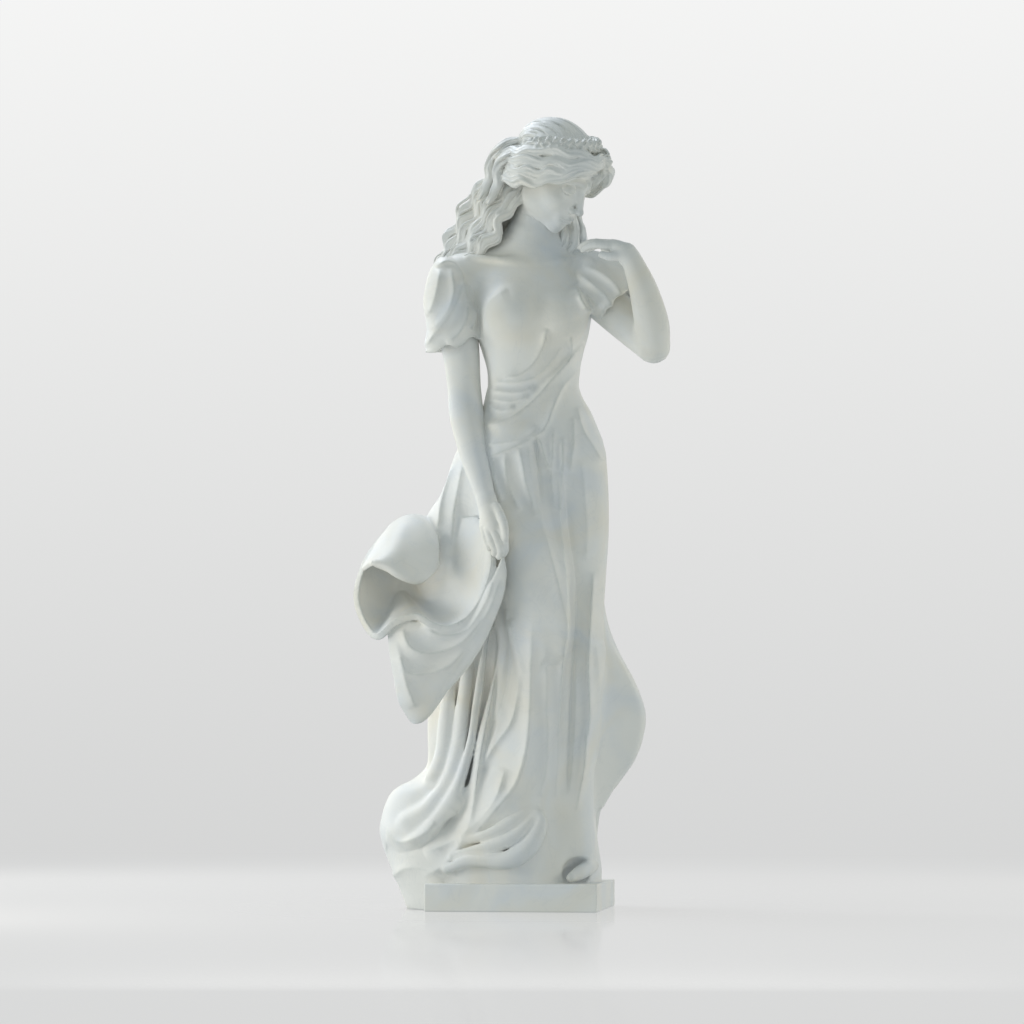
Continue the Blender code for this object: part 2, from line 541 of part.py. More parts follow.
def stand(mesh):
    """Draw nearer parts in toward eye level, turn the figure on its plinth and cut it flat at the ground."""
    shape = bmesh.new()
    shape.from_mesh(mesh)
    for vert in shape.verts:
        scale = 1 + vert.co.y / VIEWING_DISTANCE
        vert.co.x = vert.co.x * scale + FIGURE_SHIFT
        vert.co.z = EYE_LEVEL + (vert.co.z - EYE_LEVEL) * scale
    bmesh.ops.rotate(shape, cent=(0, 0, 0), matrix=Matrix.Rotation(FIGURE_TURN, 3, "Z"), verts=shape.verts)
    everything = [*shape.verts, *shape.edges, *shape.faces]
    cut = bmesh.ops.bisect_plane(
        shape, geom=everything, plane_co=(0, 0, 0), plane_no=(0, 0, 1), clear_inner=True)
    opened = [item for item in cut["geom_cut"] if isinstance(item, bmesh.types.BMEdge)]
    bmesh.ops.edgeloop_fill(shape, edges=opened)
    bmesh.ops.recalc_face_normals(shape, faces=shape.faces)
    shape.to_mesh(mesh)
    shape.free()


def plinth():
    shape = bmesh.new()
    bmesh.ops.create_cube(shape, size=1)
    bmesh.ops.scale(shape, vec=(PLINTH_WIDTH, PLINTH_DEPTH, PLINTH_HEIGHT), verts=shape.verts)
    bmesh.ops.translate(shape, vec=(0, 0, PLINTH_HEIGHT / 2), verts=shape.verts)
    raised = [edge for edge in shape.edges if max(vert.co.z for vert in edge.verts) > 0]
    bmesh.ops.bevel(shape, geom=raised, offset=PLINTH_BEVEL, segments=1, affect="EDGES")
    return object_of("Plinth", shape)


def united(body, base):
    union = body.modifiers.new("On_plinth", "BOOLEAN")
    union.operation = "UNION"
    union.object = base
    made = settled(body)
    bpy.data.objects.remove(base)
    return made


def marble():
    material = bpy.data.materials.new("Marble")
    material.use_nodes = True
    surface = material.node_tree.nodes["Principled BSDF"]
    surface.inputs["Base Color"].default_value = (0.80, 0.80, 0.76, 1)
    surface.inputs["Roughness"].default_value = 0.45
    surface.inputs["Metallic"].default_value = 0
    return material


def build():
    for old in list(bpy.data.objects):
        bpy.data.objects.remove(old)
    statue = united(figure(), plinth())
    statue.name = "statue"
    shape = bmesh.new()
    shape.from_mesh(statue.data)
    bmesh.ops.triangulate(shape, faces=shape.faces)
    shape.to_mesh(statue.data)
    shape.free()
    statue.data.shade_smooth()
    statue.data.materials.clear()
    statue.data.materials.append(marble())


build()
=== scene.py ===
import bmesh
import bpy
import time
import numpy as np
import openvdb
from functools import reduce
from math import cos, pi, radians, sin
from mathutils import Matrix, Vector


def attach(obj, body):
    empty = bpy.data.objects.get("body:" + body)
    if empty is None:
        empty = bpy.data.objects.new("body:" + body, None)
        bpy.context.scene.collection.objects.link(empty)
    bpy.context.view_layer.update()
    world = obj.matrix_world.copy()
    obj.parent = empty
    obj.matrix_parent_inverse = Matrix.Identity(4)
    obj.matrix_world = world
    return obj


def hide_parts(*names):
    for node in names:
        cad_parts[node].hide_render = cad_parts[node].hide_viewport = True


# A draped woman in white marble, carved in one block with her plinth.
# The tables of shapes are in millimetres, and inMetres turns them to metres; all else is in metres.
# The figure is shaped facing the viewer (x to the right, y away, z up),
# then foreshortened a little and turned on the plinth by standOnPlinth.

started = time.time()
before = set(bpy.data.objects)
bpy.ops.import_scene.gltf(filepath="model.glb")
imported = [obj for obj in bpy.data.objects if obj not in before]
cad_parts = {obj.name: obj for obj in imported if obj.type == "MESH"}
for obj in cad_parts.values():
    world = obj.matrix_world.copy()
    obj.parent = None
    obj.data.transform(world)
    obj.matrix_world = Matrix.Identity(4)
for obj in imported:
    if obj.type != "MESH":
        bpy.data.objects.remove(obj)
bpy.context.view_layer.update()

standing = {
    "turn": 8.0,            # degrees that the figure is turned on its plinth
    "aside": 0.025,         # and how far its middle stands from the plinth's
    "viewer": 5.8,          # the figure is laid out for a viewer this far off
    "eyeHeight": 0.25,
    "frontFace": -0.2028,   # nothing hangs out over the plinth's front
}
carving = {
    "reach": 0.032,         # how deep the carving field is known on each side of a surface
    "dressStep": 0.0025,    # finest detail carved in the dress
    "armStep": 0.0016,
    "headStep": 0.0013,     # and in the face and the hair
    "dressFaces": 196000,
    "armFaces": 60000,
    "headFaces": 192000,
    "foldDepth": 1.95,      # folds stand this much higher than they are drawn
    "highestFold": 0.022,   # but crossing folds no higher than this
    "foldCrest": 0.0022,    # roundness of a fold's crest
    "foldEnds": 0.15,       # share of a fold over which each end dies away
}


def report(stage):
    print(f"{stage}: {time.time() - started:.1f} s")


def inMetres(rows):         # a table in millimetres; words in it stay as they are
    if isinstance(rows, str):
        return rows
    return round(rows / 1000, 7) if isinstance(rows, (int, float)) else [inMetres(row) for row in rows]


def foldsInMetres(folds):   # a third value after x and z is the share of the fold's height there
    return [([(*inMetres(key[:2]), *key[2:]) for key in keys], *inMetres(sizes)) for keys, *sizes in folds]


boxes = {name: inMetres(corners) for name, corners in (     # opposite corners of what is worked on at once
    ("dress", [(-355, -225, -20), (305, 205, 1500)]),
    ("flesh", [(-200, -130, 1100), (260, 140, 1505)]),
    ("collarBones", [(-120, -100, 1340), (200, 0, 1420)]),
    ("front", [(-260, -250, 50), (260, 50, 1360)]),
    ("back", [(-260, -50, 50), (260, 240, 1020)]),
    ("backEdges", [(-130, 0, 960), (190, 200, 1360)]),
    ("tail", [(-280, -230, 380), (10, -80, 740)]),
    ("rightSleeve", [(-230, -110, 1150), (-20, 110, 1420)]),
    ("leftSleeve", [(130, -150, 1240), (270, 30, 1400)]),
    ("ground", [(-370, -250, -30), (370, 250, 30)]),
    ("loweredArm", [(-170, -220, 720), (10, 70, 1380)]),
    ("holdingHand", [(-100, -220, 730), (10, -100, 900)]),
    ("raisedArm", [(110, -210, 1150), (350, 60, 1470)]),
    ("raisedHand", [(120, -200, 1360), (290, -60, 1460)]),
    ("headAndHair", [(-190, -220, 1140), (280, 150, 1720)]),
    ("head", [(-40, -190, 1430), (240, 100, 1720)]),
    ("neck", [(0, -80, 1480), (140, 80, 1600)]),
    ("hair", [(-80, -220, 1480), (280, 140, 1730)]),
)}


def through(keys, at):      # points of a smooth curve through the keys, at 0..1 along it
    keys = np.asarray(keys, float)
    last = len(keys) - 1
    place = np.clip(np.asarray(at, float), 0, 1) * last
    span = np.minimum(place.astype(int), last - 1)
    f = (place - span).reshape(-1, *([1] * (keys.ndim - 1)))
    padded = np.concatenate([[2 * keys[0] - keys[1]], keys, [2 * keys[-1] - keys[-2]]])
    a, b, c, d = (padded[span + i] for i in range(4))
    return 0.5 * (2 * b + (c - a) * f + (2 * a - 5 * b + 4 * c - d) * f**2 + (3 * b - a - 3 * c + d) * f**3)


def unit(vectors):
    return vectors / (np.linalg.norm(vectors, axis=-1, keepdims=True) + 1e-12)


def runAlong(points):
    return np.concatenate([[0], np.cumsum(np.linalg.norm(np.diff(points, axis=0), axis=1))])


# Closed shapes, each a pair of points and faces
def gridFaces(rows, columns, loop):
    r, c = np.meshgrid(np.arange(rows - 1), np.arange(columns if loop else columns - 1), indexing="ij")
    r, c = r.ravel(), c.ravel()
    n = (c + 1) % columns
    return np.stack([r * columns + c, r * columns + n, (r + 1) * columns + n, (r + 1) * columns + c], 1)


def closedTube(rings):
    n, m = rings.shape[:2]
    points = np.concatenate([rings.reshape(-1, 3), [rings[0].mean(0)], [rings[-1].mean(0)]])
    c = np.arange(m)
    d = (c + 1) % m
    ends = [np.stack([np.full(m, n * m), d, c], 1),
            np.stack([np.full(m, n * m + 1), (n - 1) * m + c, (n - 1) * m + d], 1)]
    return points, gridFaces(n, m, True), np.concatenate(ends)


def limb(keys, rings=60, sides=32, lobes=0, groove=0.0, roundEnds=True):
    # a round body along keys of x, y, z, radius, with lobes grooves along it
    k = through(keys, np.linspace(0, 1, rings))
    centre, radius = k[:, :3], np.maximum(k[:, 3], 0.0005)
    along = unit(np.gradient(centre, axis=0))
    normal = np.array([0.0, 0.0, 1.0]) if abs(along[0, 2]) < 0.9 else np.array([0.0, -1.0, 0.0])
    sideways = []
    for d in along:
        normal = unit(normal - d * normal.dot(d))
        sideways.append((normal, np.cross(d, normal)))
    sideways = np.array(sideways)
    angle = np.linspace(0, 2 * pi, sides, endpoint=False)
    flute = 1 - groove * (0.5 - 0.5 * np.cos(lobes * angle)) if lobes else 1.0
    ring = np.stack([np.cos(angle) * flute, np.sin(angle) * flute], 1)
    body = centre[:, None] + radius[:, None, None] * np.einsum("sk,rkc->rsc", ring, sideways)
    if roundEnds:
        caps = []
        for end, sign in ((0, -1), (-1, 1)):
            caps.append([centre[end] + (body[end] - centre[end]) * np.sqrt(1 - s * s)
                         + sign * along[end] * radius[end] * s for s in (0.35, 0.7, 0.92)])
        body = np.concatenate([np.array(caps[0][::-1]), body, np.array(caps[1])])
    return closedTube(body)


def ball(centre, radii):
    lat = np.linspace(-pi / 2, pi / 2, 26)[1:-1, None]
    lon = np.linspace(0, 2 * pi, 36, endpoint=False)
    p = np.stack([np.cos(lat) * np.cos(lon), np.cos(lat) * np.sin(lon), np.sin(lat) * np.ones(36)], -1)
    return closedTube(p * radii + np.asarray(centre))


def cloth(rows, thickness, across=60, down=60, thinEdge=0.5):    # a thick sheet through rows of keys
    g = through(np.asarray(rows, float), np.linspace(0, 1, down))
    g = through(g.transpose(1, 0, 2), np.linspace(0, 1, across)).transpose(1, 0, 2)
    n = unit(np.cross(np.gradient(g, axis=1), np.gradient(g, axis=0)))
    u = np.minimum(np.linspace(0, 1, across), np.linspace(1, 0, across))[None]
    v = np.minimum(np.linspace(0, 1, down), np.linspace(1, 0, down))[:, None]
    fromEdge = np.clip(np.minimum(u, v) / 0.06, 0, 1) ** 0.5
    half = (thickness / 2 * (thinEdge + (1 - thinEdge) * fromEdge))[..., None]
    rings = np.concatenate([g + n * half, (g - n * half)[:, ::-1]], 1)      # each row goes round the sheet
    i = np.arange(across - 1)
    lid = np.stack([i, i + 1, 2 * across - 2 - i, 2 * across - 1 - i], 1)
    faces = [gridFaces(down, 2 * across, True), lid[:, ::-1], lid + (down - 1) * 2 * across]
    return rings.reshape(-1, 3), np.concatenate(faces)


def bowl(rim, centre, thickness, power=2.0, around=140, inward=30):         # a thick dish, from its rim in
    loop = np.asarray(rim, float)
    count = len(rim)
    wrapped = np.concatenate([loop[-2:], loop, loop[:3]])
    edge = through(wrapped, (2 + np.linspace(0, count, around, endpoint=False)) / (len(wrapped) - 1))
    c = np.asarray(centre, float)
    r = np.linspace(1, 0.02, inward)[:, None, None]
    g = c + (edge[None] - c) * r
    g[..., 1] = c[1] + (edge[None, :, 1] - c[1]) * (r[..., 0] ** power)
    n = unit(np.cross(np.roll(g, -1, 1) - np.roll(g, 1, 1), np.gradient(g, axis=0)))
    n[-4:] = unit(n[-5].mean(0))
    a, b = g + n * thickness / 2, g - n * thickness / 2
    return closedTube(np.concatenate([a[::-1], b]))


def lane(keys, z):          # left, right, front and back at each height
    k = np.asarray(sorted(keys), float)
    dense = through(k, np.linspace(0, 1, 16 * len(k)))
    return [np.interp(z, dense[:, 0], dense[:, i]) for i in range(1, k.shape[1])]


def loft(levels, rings=200, sides=160, power=0.85):     # rounded cross-sections stacked up the heights
    heights = [row[0] for row in levels]
    z = np.linspace(max(heights), min(heights), rings)
    left, right, front, back = lane(levels, z)
    a = np.linspace(0, 2 * pi, sides, endpoint=False)
    ux = (np.sign(np.cos(a)) * np.abs(np.cos(a)) ** power)[None]
    uy = (np.sign(np.sin(a)) * np.abs(np.sin(a)) ** power)[None]
    x = ((left + right) / 2)[:, None] + ((right - left) / 2)[:, None] * ux
    y = ((front + back) / 2)[:, None] + ((back - front) / 2)[:, None] * uy
    return closedTube(np.stack([x, y, z[:, None] * np.ones_like(x)], -1)[::-1])


def sections(rows, rings=120, sides=140):   # a body through closed outlines (x, y) at given heights
    z = np.array([row[0] for row in rows])
    loops = np.array([row[1] for row in rows], float)
    m = loops.shape[1]
    at = np.linspace(1 / (m + 2), (m + 1) / (m + 2), sides, endpoint=False)
    around = np.stack([through(np.concatenate([l[-1:], l, l[:1], l[1:2]]), at) for l in loops])
    flat = through(np.concatenate([z[:, None], around.reshape(len(z), -1)], 1), np.linspace(0, 1, rings))
    xy = flat[:, 1:].reshape(rings, sides, 2)
    return closedTube(np.concatenate([xy, np.repeat(flat[:, :1, None], sides, 1)], 2))


# The block of clay: a field of distances to the carved surface, in steps, negative inside
def newClay(low, high, step):
    low = np.floor(np.asarray(low) / step) * step
    shape = [int(round((h - l) / step)) + 1 for l, h in zip(low, high)]
    far = carving["reach"] / step
    return {"low": low, "step": step, "far": far, "field": np.full(shape, far, np.float32)}


def melt(a, b, k):          # joins two fields with a fillet of k
    h = np.maximum(k - np.abs(a - b), 0) / k
    return np.minimum(a, b) - h * h * k * 0.25


def blend(clay, place, other, k, how):
    k = max(k / clay["step"], 0.5)
    field = clay["field"][place]
    if how == "join":
        clay["field"][place] = melt(field, other, k)
    else:
        clay["field"][place] = -melt(-field, other if how == "cut" else -other, k)


def addShape(clay, shape, k=0.004, how="join", fine=False):
    points, *faces = shape
    step = clay["step"]
    p = ((points - clay["low"]) / step).astype(np.float32)
    kept = np.array(clay["field"].shape)
    margin = k / step + 2
    if (p.max(0) < -margin).any() or (p.min(0) > kept + margin).any():
        return
    band = int(np.ceil(k / step)) + 3
    if not fine:
        band = max(band, int(clay["far"]))
    quads = [f for f in faces if f.shape[1] == 4]
    triangles = [f for f in faces if f.shape[1] == 3]
    none = [np.zeros((0, 3), np.uint32), np.zeros((0, 4), np.uint32)]
    grid = openvdb.FloatGrid.createLevelSetFromPolygons(
        p, triangles=np.concatenate([none[0], *triangles]).astype(np.uint32),
        quads=np.concatenate([none[1], *quads]).astype(np.uint32), exBandWidth=band, inBandWidth=band)
    low, high = grid.evalActiveVoxelBoundingBox()
    low = np.maximum(low, 0)
    high = np.minimum(high, kept - 1)
    if (high < low).any():
        return
    block = np.zeros(tuple(int(x) for x in high - low + 1), np.float32)
    grid.copyToArray(block, ijk=tuple(int(x) for x in low))
    blend(clay, tuple(slice(int(a), int(b) + 1) for a, b in zip(low, high)), block, k, how)


def window(clay, low, high):
    first = np.maximum(np.floor((np.asarray(low) - clay["low"]) / clay["step"]).astype(int), 0)
    last = np.ceil((np.asarray(high) - clay["low"]) / clay["step"]).astype(int)
    last = np.minimum(last, np.array(clay["field"].shape) - 1)
    if (last <= first).any():
        return None, None
    axes = [(np.arange(a, b + 1) * clay["step"] + start).astype(np.float32)
            for a, b, start in zip(first, last, clay["low"])]
    return axes, tuple(slice(int(a), int(b) + 1) for a, b in zip(first, last))


def addField(clay, low, high, distance, k=0.004, how="join"):    # distance(points), inside the box
    axes, place = window(clay, low, high)
    if axes is None:
        return
    step, cell = clay["step"], 6                # worked out coarsely first, then finely near the surface
    rough = distance(np.stack(np.meshgrid(*[a[::cell] for a in axes], indexing="ij"), -1)) / step
    for axis in range(3):
        rough = np.repeat(rough, cell, axis)
    field = np.clip(rough[tuple(slice(0, len(a)) for a in axes)], -clay["far"], clay["far"])
    near = np.nonzero(np.abs(field) < min(cell * 1.75 + k / step + 3, clay["far"] - 0.01))
    p = np.stack([a[i] for a, i in zip(axes, near)], -1)
    field[near] = np.clip(distance(p) / step, -clay["far"], clay["far"])
    blend(clay, place, field, k, how)


def pressFolds(clay, folds, front, low, high, y0, over=0.03):
    # raises ridges on the side of the clay that lies before or behind y0
    axes, place = window(clay, low, high)
    if axes is None:
        return
    xs, ys, zs = axes
    w = np.clip(((y0 - ys) if front else (ys - y0)) / over, 0, 1)
    w = w * w * (3 - 2 * w)
    height = ridges(folds, xs, zs)
    highest = carving["highestFold"]
    rise = highest * np.tanh(height * carving["foldDepth"] / highest) / clay["step"]
    clay["field"][place] -= (rise[:, None, :] * w[None, :, None]).astype(np.float32)


def ridges(folds, xs, zs):  # each fold: x, z along it, its height, its width to the left and to the right
    total = np.zeros((len(xs), len(zs)), np.float32)
    for keys, height, widthLeft, widthRight in folds:
        k = np.asarray([tuple(row) + (1.0,) * (3 - len(row)) for row in keys], float)
        c = through(k, np.linspace(0, 1, 10 * len(k)))
        ends = np.linspace(0, 1, len(c))
        scale = c[:, 2]
        for fromEnd in (ends, 1 - ends):
            scale = scale * np.clip(fromEnd / carving["foldEnds"], 0, 1) ** 0.7
        far = 4.5 * max(widthLeft, widthRight)
        i0, i1 = np.searchsorted(xs, [c[:, 0].min() - far, c[:, 0].max() + far])
        j0, j1 = np.searchsorted(zs, [c[:, 1].min() - far, c[:, 1].max() + far])
        if i1 <= i0 or j1 <= j0:
            continue
        x, z = np.meshgrid(xs[i0:i1], zs[j0:j1], indexing="ij")
        nearest, side, rise = np.full(x.shape, 9.0), np.zeros(x.shape), np.zeros(x.shape)
        for a, b, sa, sb in zip(c[:-1, :2], c[1:, :2], scale[:-1], scale[1:]):
            d = b - a
            t = np.clip(((x - a[0]) * d[0] + (z - a[1]) * d[1]) / max(d @ d, 1e-12), 0, 1)
            dx, dz = x - a[0] - t * d[0], z - a[1] - t * d[1]
            away = np.hypot(dx, dz)
            closer = away < nearest
            nearest = np.where(closer, away, nearest)
            side = np.where(closer, d[0] * dz - d[1] * dx, side)
            rise = np.where(closer, sa + t * (sb - sa), rise)
        width = np.where(side > 0, widthLeft, widthRight)
        top = carving["foldCrest"]
        fall = np.exp(-(np.hypot(nearest, top) - top) / width)
        total[i0:i1, j0:j1] += (height * rise * fall).astype(np.float32)
    return total


def egg(p, centre, radii):
    q = p - np.asarray(centre, np.float32)
    r = np.asarray(radii, np.float32)
    k0 = np.linalg.norm(q / r, axis=-1)
    return k0 * (k0 - 1) / (np.linalg.norm(q / (r * r), axis=-1) + 1e-6)


def cone(p, a, b, ra, rb):
    a, b = np.asarray(a, np.float32), np.asarray(b, np.float32)
    d = b - a
    t = np.clip(((p - a) @ d) / d.dot(d), 0, 1)
    return np.linalg.norm(p - a - t[..., None] * d, axis=-1) - (ra + (rb - ra) * t)


def chain(p, keys, count=8):    # cones end to end along keys of x, y, z, radius
    points = through(keys, np.linspace(0, 1, count))
    return reduce(np.minimum, (cone(p, a[:3], b[:3], a[3], b[3]) for a, b in zip(points, points[1:])))


def standOnPlinth(p):
    near = 1 + p[:, 1:2] / standing["viewer"]
    eye = standing["eyeHeight"]
    p = np.concatenate([p[:, :1] * near - standing["aside"], p[:, 1:2], eye + (p[:, 2:] - eye) * near], 1)
    a = radians(standing["turn"])
    turned = np.array([[cos(a), -sin(a), 0], [sin(a), cos(a), 0], [0, 0, 1]])
    p = p @ turned.T
    return np.column_stack([p[:, 0], np.maximum(p[:, 1], standing["frontFace"]), p[:, 2]])


def placed(name, data):     # a new object in the scene, at the origin
    thing = bpy.data.objects.new(name, data)
    bpy.context.scene.collection.objects.link(thing)
    return thing


def pieceOf(name, points, faces):
    mesh = bpy.data.meshes.new(name)
    mesh.vertices.add(len(points))
    mesh.vertices.foreach_set("co", points.astype(np.float32).ravel())
    corners = faces.shape[1]
    mesh.loops.add(faces.size)
    mesh.loops.foreach_set("vertex_index", faces.astype(np.int32).ravel())
    mesh.polygons.add(len(faces))
    mesh.polygons.foreach_set("loop_start", np.arange(len(faces), dtype=np.int32) * corners)
    mesh.update(calc_edges=True)
    return placed(name, mesh)


def settled(piece):         # the piece's modifiers, worked into its mesh
    bpy.context.view_layer.update()
    graph = bpy.context.evaluated_depsgraph_get()
    mesh = bpy.data.meshes.new_from_object(piece.evaluated_get(graph))
    piece.modifiers.clear()
    old = piece.data
    piece.data = mesh
    bpy.data.meshes.remove(old)
    return piece


def cast(clay, name, faces):    # the clay's surface as a piece with about so many faces
    known = 4.0             # steps on each side of the surface
    grid = openvdb.FloatGrid()
    grid.background = known
    grid.copyFromArray(np.clip(clay["field"], -known, known))
    points, quads = grid.convertToQuads()
    piece = pieceOf(name, standOnPlinth(points * clay["step"] + clay["low"]), quads[:, ::-1])
    thin = piece.modifiers.new("fewerFaces", "DECIMATE")
    thin.ratio = min(1.0, faces / (2 * len(quads)))
    settled(piece)
    mesh = piece.data
    mesh.name = name
    mesh.validate()
    mesh.polygons.foreach_set("use_smooth", [True] * len(mesh.polygons))
    report(f"{name} cast, {len(quads)} cells, {len(mesh.polygons)} faces")
    return piece


def addNode(tree, kind, links=None, **settings):
    node = tree.nodes.new(kind)
    for key, value in settings.items():
        setattr(node, key, value)
    for socket, value in (links or {}).items():
        if isinstance(value, bpy.types.NodeSocket):
            tree.links.new(value, node.inputs[socket])
        else:
            node.inputs[socket].default_value = value
    return node


# Head

head = {
    "centre": (0.092, -0.045, 1.574),
    "turnToSide": 58.0,     # degrees that she looks to her left
    "bow": 33.0,            # and down
}
yaw, bow = radians(head["turnToSide"]), radians(head["bow"])
headCentre = np.array(head["centre"])
faceWay = np.array([cos(bow) * sin(yaw), -cos(bow) * cos(yaw), -sin(bow)])
leftWay = np.array([cos(yaw), sin(yaw), 0.0])
headTurn = np.stack([leftWay, -faceWay, np.cross(leftWay, -faceWay)], 1)    # columns: her left, back, crown

# Each part in the head's own axes: joined or cut, in the middle or on both sides alike, then
# an egg's centre and radii, or a bar's two ends and their radii, and last the fillet.
skullParts = inMetres([
    ("join", "middle", (0, -30, -30), (54, 56, 72), 20),
    ("join", "middle", (0, -12, -60), (48, 58, 40), 20),                    # jaw
    ("join", "middle", (0, -66, -92), (17, 17, 16), 20),                    # chin
    ("join", "both", (36, -52, -26), (22, 24, 20), 18),                     # cheeks
    ("join", "both", (8, -83.5, 20), (40, -64, 21), 9, 7, 12),              # brows
    ("cut", "both", (30, -94, 3), (17, 20, 13), 12),                        # eye sockets
    ("join", "both", (30.5, -68, 0), (13, 12.2, 12.2), 3),                  # eyes
])
featureParts = inMetres([
    ("join", "middle", (0, -79, 14), (0, -101, -34), 7, 7.8, 10),           # nose
    ("join", "middle", (0, -103.5, -36.5), (8, 8.5, 7.5), 5),
    ("join", "both", (11.5, -90.5, -39.5), (6.2, 10, 6.5), 6),
    ("cut", "both", (6.2, -96.5, -48), (7, -90, -43), 2.8, 2.2, 3),
    ("join", "middle", (0, -76, -64), (26, 15, 17), 14),                    # lips
    ("join", "both", (3.5, -92.5, -60), (20, -80, -65), 5, 2.2, 3),
    ("join", "both", (0, -90.5, -70), (15, -83.5, -68.5), 6.2, 2.8, 3),
    ("cut", "both", (0, -97.5, -64.8), (22.5, -83, -66.2), 1.9, 1.4, 2.2),
    ("cut", "middle", (0, -96, -53), (3, 3.5, 6), 4),
    ("cut", "middle", (0, -93, -80), (13, 6, 5), 8),                        # over the chin
])


def onHead(keys):           # rows in the head's own axes, with anything after x, y, z carried along
    k = np.asarray(keys, float)
    return np.concatenate([headCentre + k[:, :3] @ headTurn.T, k[:, 3:]], 1)


def inHead(p):
    return (p - headCentre.astype(np.float32)) @ headTurn.astype(np.float32)


def withParts(d, places, parts):
    for how, side, a, b, *radii, fillet in parts:
        part = cone(places[side], a, b, *radii) if radii else egg(places[side], a, b)
        d = melt(d, part, fillet) if how == "join" else -melt(-d, part, fillet)
    return d


def headShape(p):
    q = inHead(p)
    m = q.copy()
    m[..., 0] = np.abs(m[..., 0])               # both sides alike
    places = {"middle": q, "both": m}
    d = withParts(egg(q, (0, 0.012, 0.030), (0.068, 0.086, 0.076)), places, skullParts)
    upperLid = np.maximum(egg(m, (0.0305, -0.0680, 0.001), (0.0165, 0.0152, 0.0150)), -(m[..., 2] + 0.0022))
    lowerLid = np.maximum(egg(m, (0.0305, -0.0670, -0.001), (0.0160, 0.0148, 0.0145)), m[..., 2] + 0.0070)
    return withParts(melt(melt(d, upperLid, 0.0012), lowerLid, 0.0015), places, featureParts)


# Hair: a close cap, and locks of strands that lie side by side along a path

hair = {
    "strands": 5,           # strands in a lock
    "spread": 0.78,         # of the lock's half width
    "crown": 0.62,          # how far the middle strand stands up, of the half width
    "strandThickness": 0.24,
    "strandSides": 10,
    "capCentre": (0.0, 0.012, 0.033),
    "capRadii": (0.0735, 0.0900, 0.0715),
    "bedCentre": (0.0, -0.004, 0.040),      # fuller hair under the rolls
    "bedRadii": (0.0785, 0.0840, 0.0660),
    "unruly": 0.9,          # how far strands stray from one another
    "crownUnruly": 0.3,
    "seed": 4,
    "steps": 72,            # points along each lock
    "crownLocks": 11,
    "parting": 0.044,       # how far the far side's rolls start across the head
    "core": 0.74,           # thickness of the solid middle of a lock
    "settling": 0.03,       # a lock lies still for this length at its root
}
braid = {
    "parts": 3,
    "pitch": 0.046,         # along which a part crosses over and back
    "halfWidth": 0.0155,
    "lift": 0.004,          # it lies this far out on the bed
    "strands": 4,
    "unruly": 0.2,
    "core": 0.80,
}
longHair = {                # down the back
    "locks": 11,
    "rootsFrom": -0.012,    # the roots from her right to her left, and then the ends
    "rootsAcross": 0.100,
    "endsFrom": -0.118,
    "endsAcross": 0.232,
    "highest": 1.618,
    "lowest": 1.185,
    "ragged": 0.014,        # every other lock ends this much higher
}
waving = {                  # how far locks sway, how long their wave is, and each one's lag behind the last
    # middle is the upright line that they hang round; uneven and twist are taken in turn
    "crown": {"sway": 0.0012, "wave": 0.070, "lag": 0.4},
    "rolls": {"sway": 0.0046, "wave": 0.058, "lag": 2.1, "uneven": (0, 0.008, -0.006, 0.004)},
    "temple": {"sway": 0.0045, "wave": 0.056, "lag": 1.7, "start": 0.5},
    "nape": {"sway": 0.004, "wave": 0.055, "lag": 1.0},
    "shoulder": {"sway": 0.0078, "wave": 0.064, "lag": 0.75, "uneven": (-0.003, 0, 0.003),
                 "middle": (-0.06, 0.20, 0), "twist": (0.25,)},
    "collar": {"sway": 0.004, "wave": 0.040, "lag": 1.3, "middle": (0.06, 0, 0), "twist": (-0.5,)},
    "back": {"sway": 0.0062, "wave": 0.056, "lag": 0.55, "middle": (0.03, -0.02, 0), "twist": (0.4, -0.4)},
}
bedCentre, bedRadii = np.array(hair["bedCentre"]), np.array(hair["bedRadii"])
capCentre, capRadii = np.array(hair["capCentre"]), np.array(hair["capRadii"])

rolls = inMetres([    # her right side's, from the parting over the temple to the back, in the head's axes
    [(22, -78, 86, 7), (-12, -80, 84, 12), (-45, -60, 80, 14), (-67, -29, 70, 14), (-79, 6, 53, 14),
     (-80, 40, 30, 14), (-64, 72, 4, 13), (-34, 92, -20, 10)],
    [(22, -83, 78, 7), (-12, -88, 74, 12), (-47, -71, 66, 15), (-70, -40, 51, 15), (-81, -4, 31, 15),
     (-81, 34, 8, 15), (-64, 68, -16, 13), (-34, 88, -34, 10)],
    [(20, -85, 74, 7), (-14, -88, 70, 11), (-48, -76, 58, 13), (-71, -48, 36, 15), (-82, -12, 10, 15),
     (-81, 28, -13, 15), (-64, 62, -34, 13), (-36, 82, -50, 10)],
    [(18, -86, 70, 6), (-16, -89, 65, 8), (-49, -80, 51, 11), (-72, -54, 23, 14), (-80, -20, -8, 15),
     (-77, 22, -32, 15), (-62, 56, -52, 13), (-36, 76, -66, 9)],
])
templeLocks = inMetres([    # fuller ones that hang by the far temple
    [(20, -90, 72, 6), (40, -84, 52, 11), (50, -72, 26, 13), (56, -58, 0, 13), (62, -40, -24, 12),
     (64, -14, -42, 9)],
    [(28, -92, 72, 8), (56, -91, 53, 13), (72, -82, 27, 15), (79, -66, 2, 14), (80, -44, -22, 13),
     (76, -14, -40, 10)],
])
crownBraid = inMetres([
    (-60, 80, 6), (-80, 54, 34), (-80, 18, 62), (-73, -10, 80), (-56, -33, 92), (-30, -48, 98),
    (0, -54, 100), (30, -48, 98), (56, -33, 92), (73, -10, 80), (80, 18, 62), (80, 54, 34), (60, 80, 6)
])
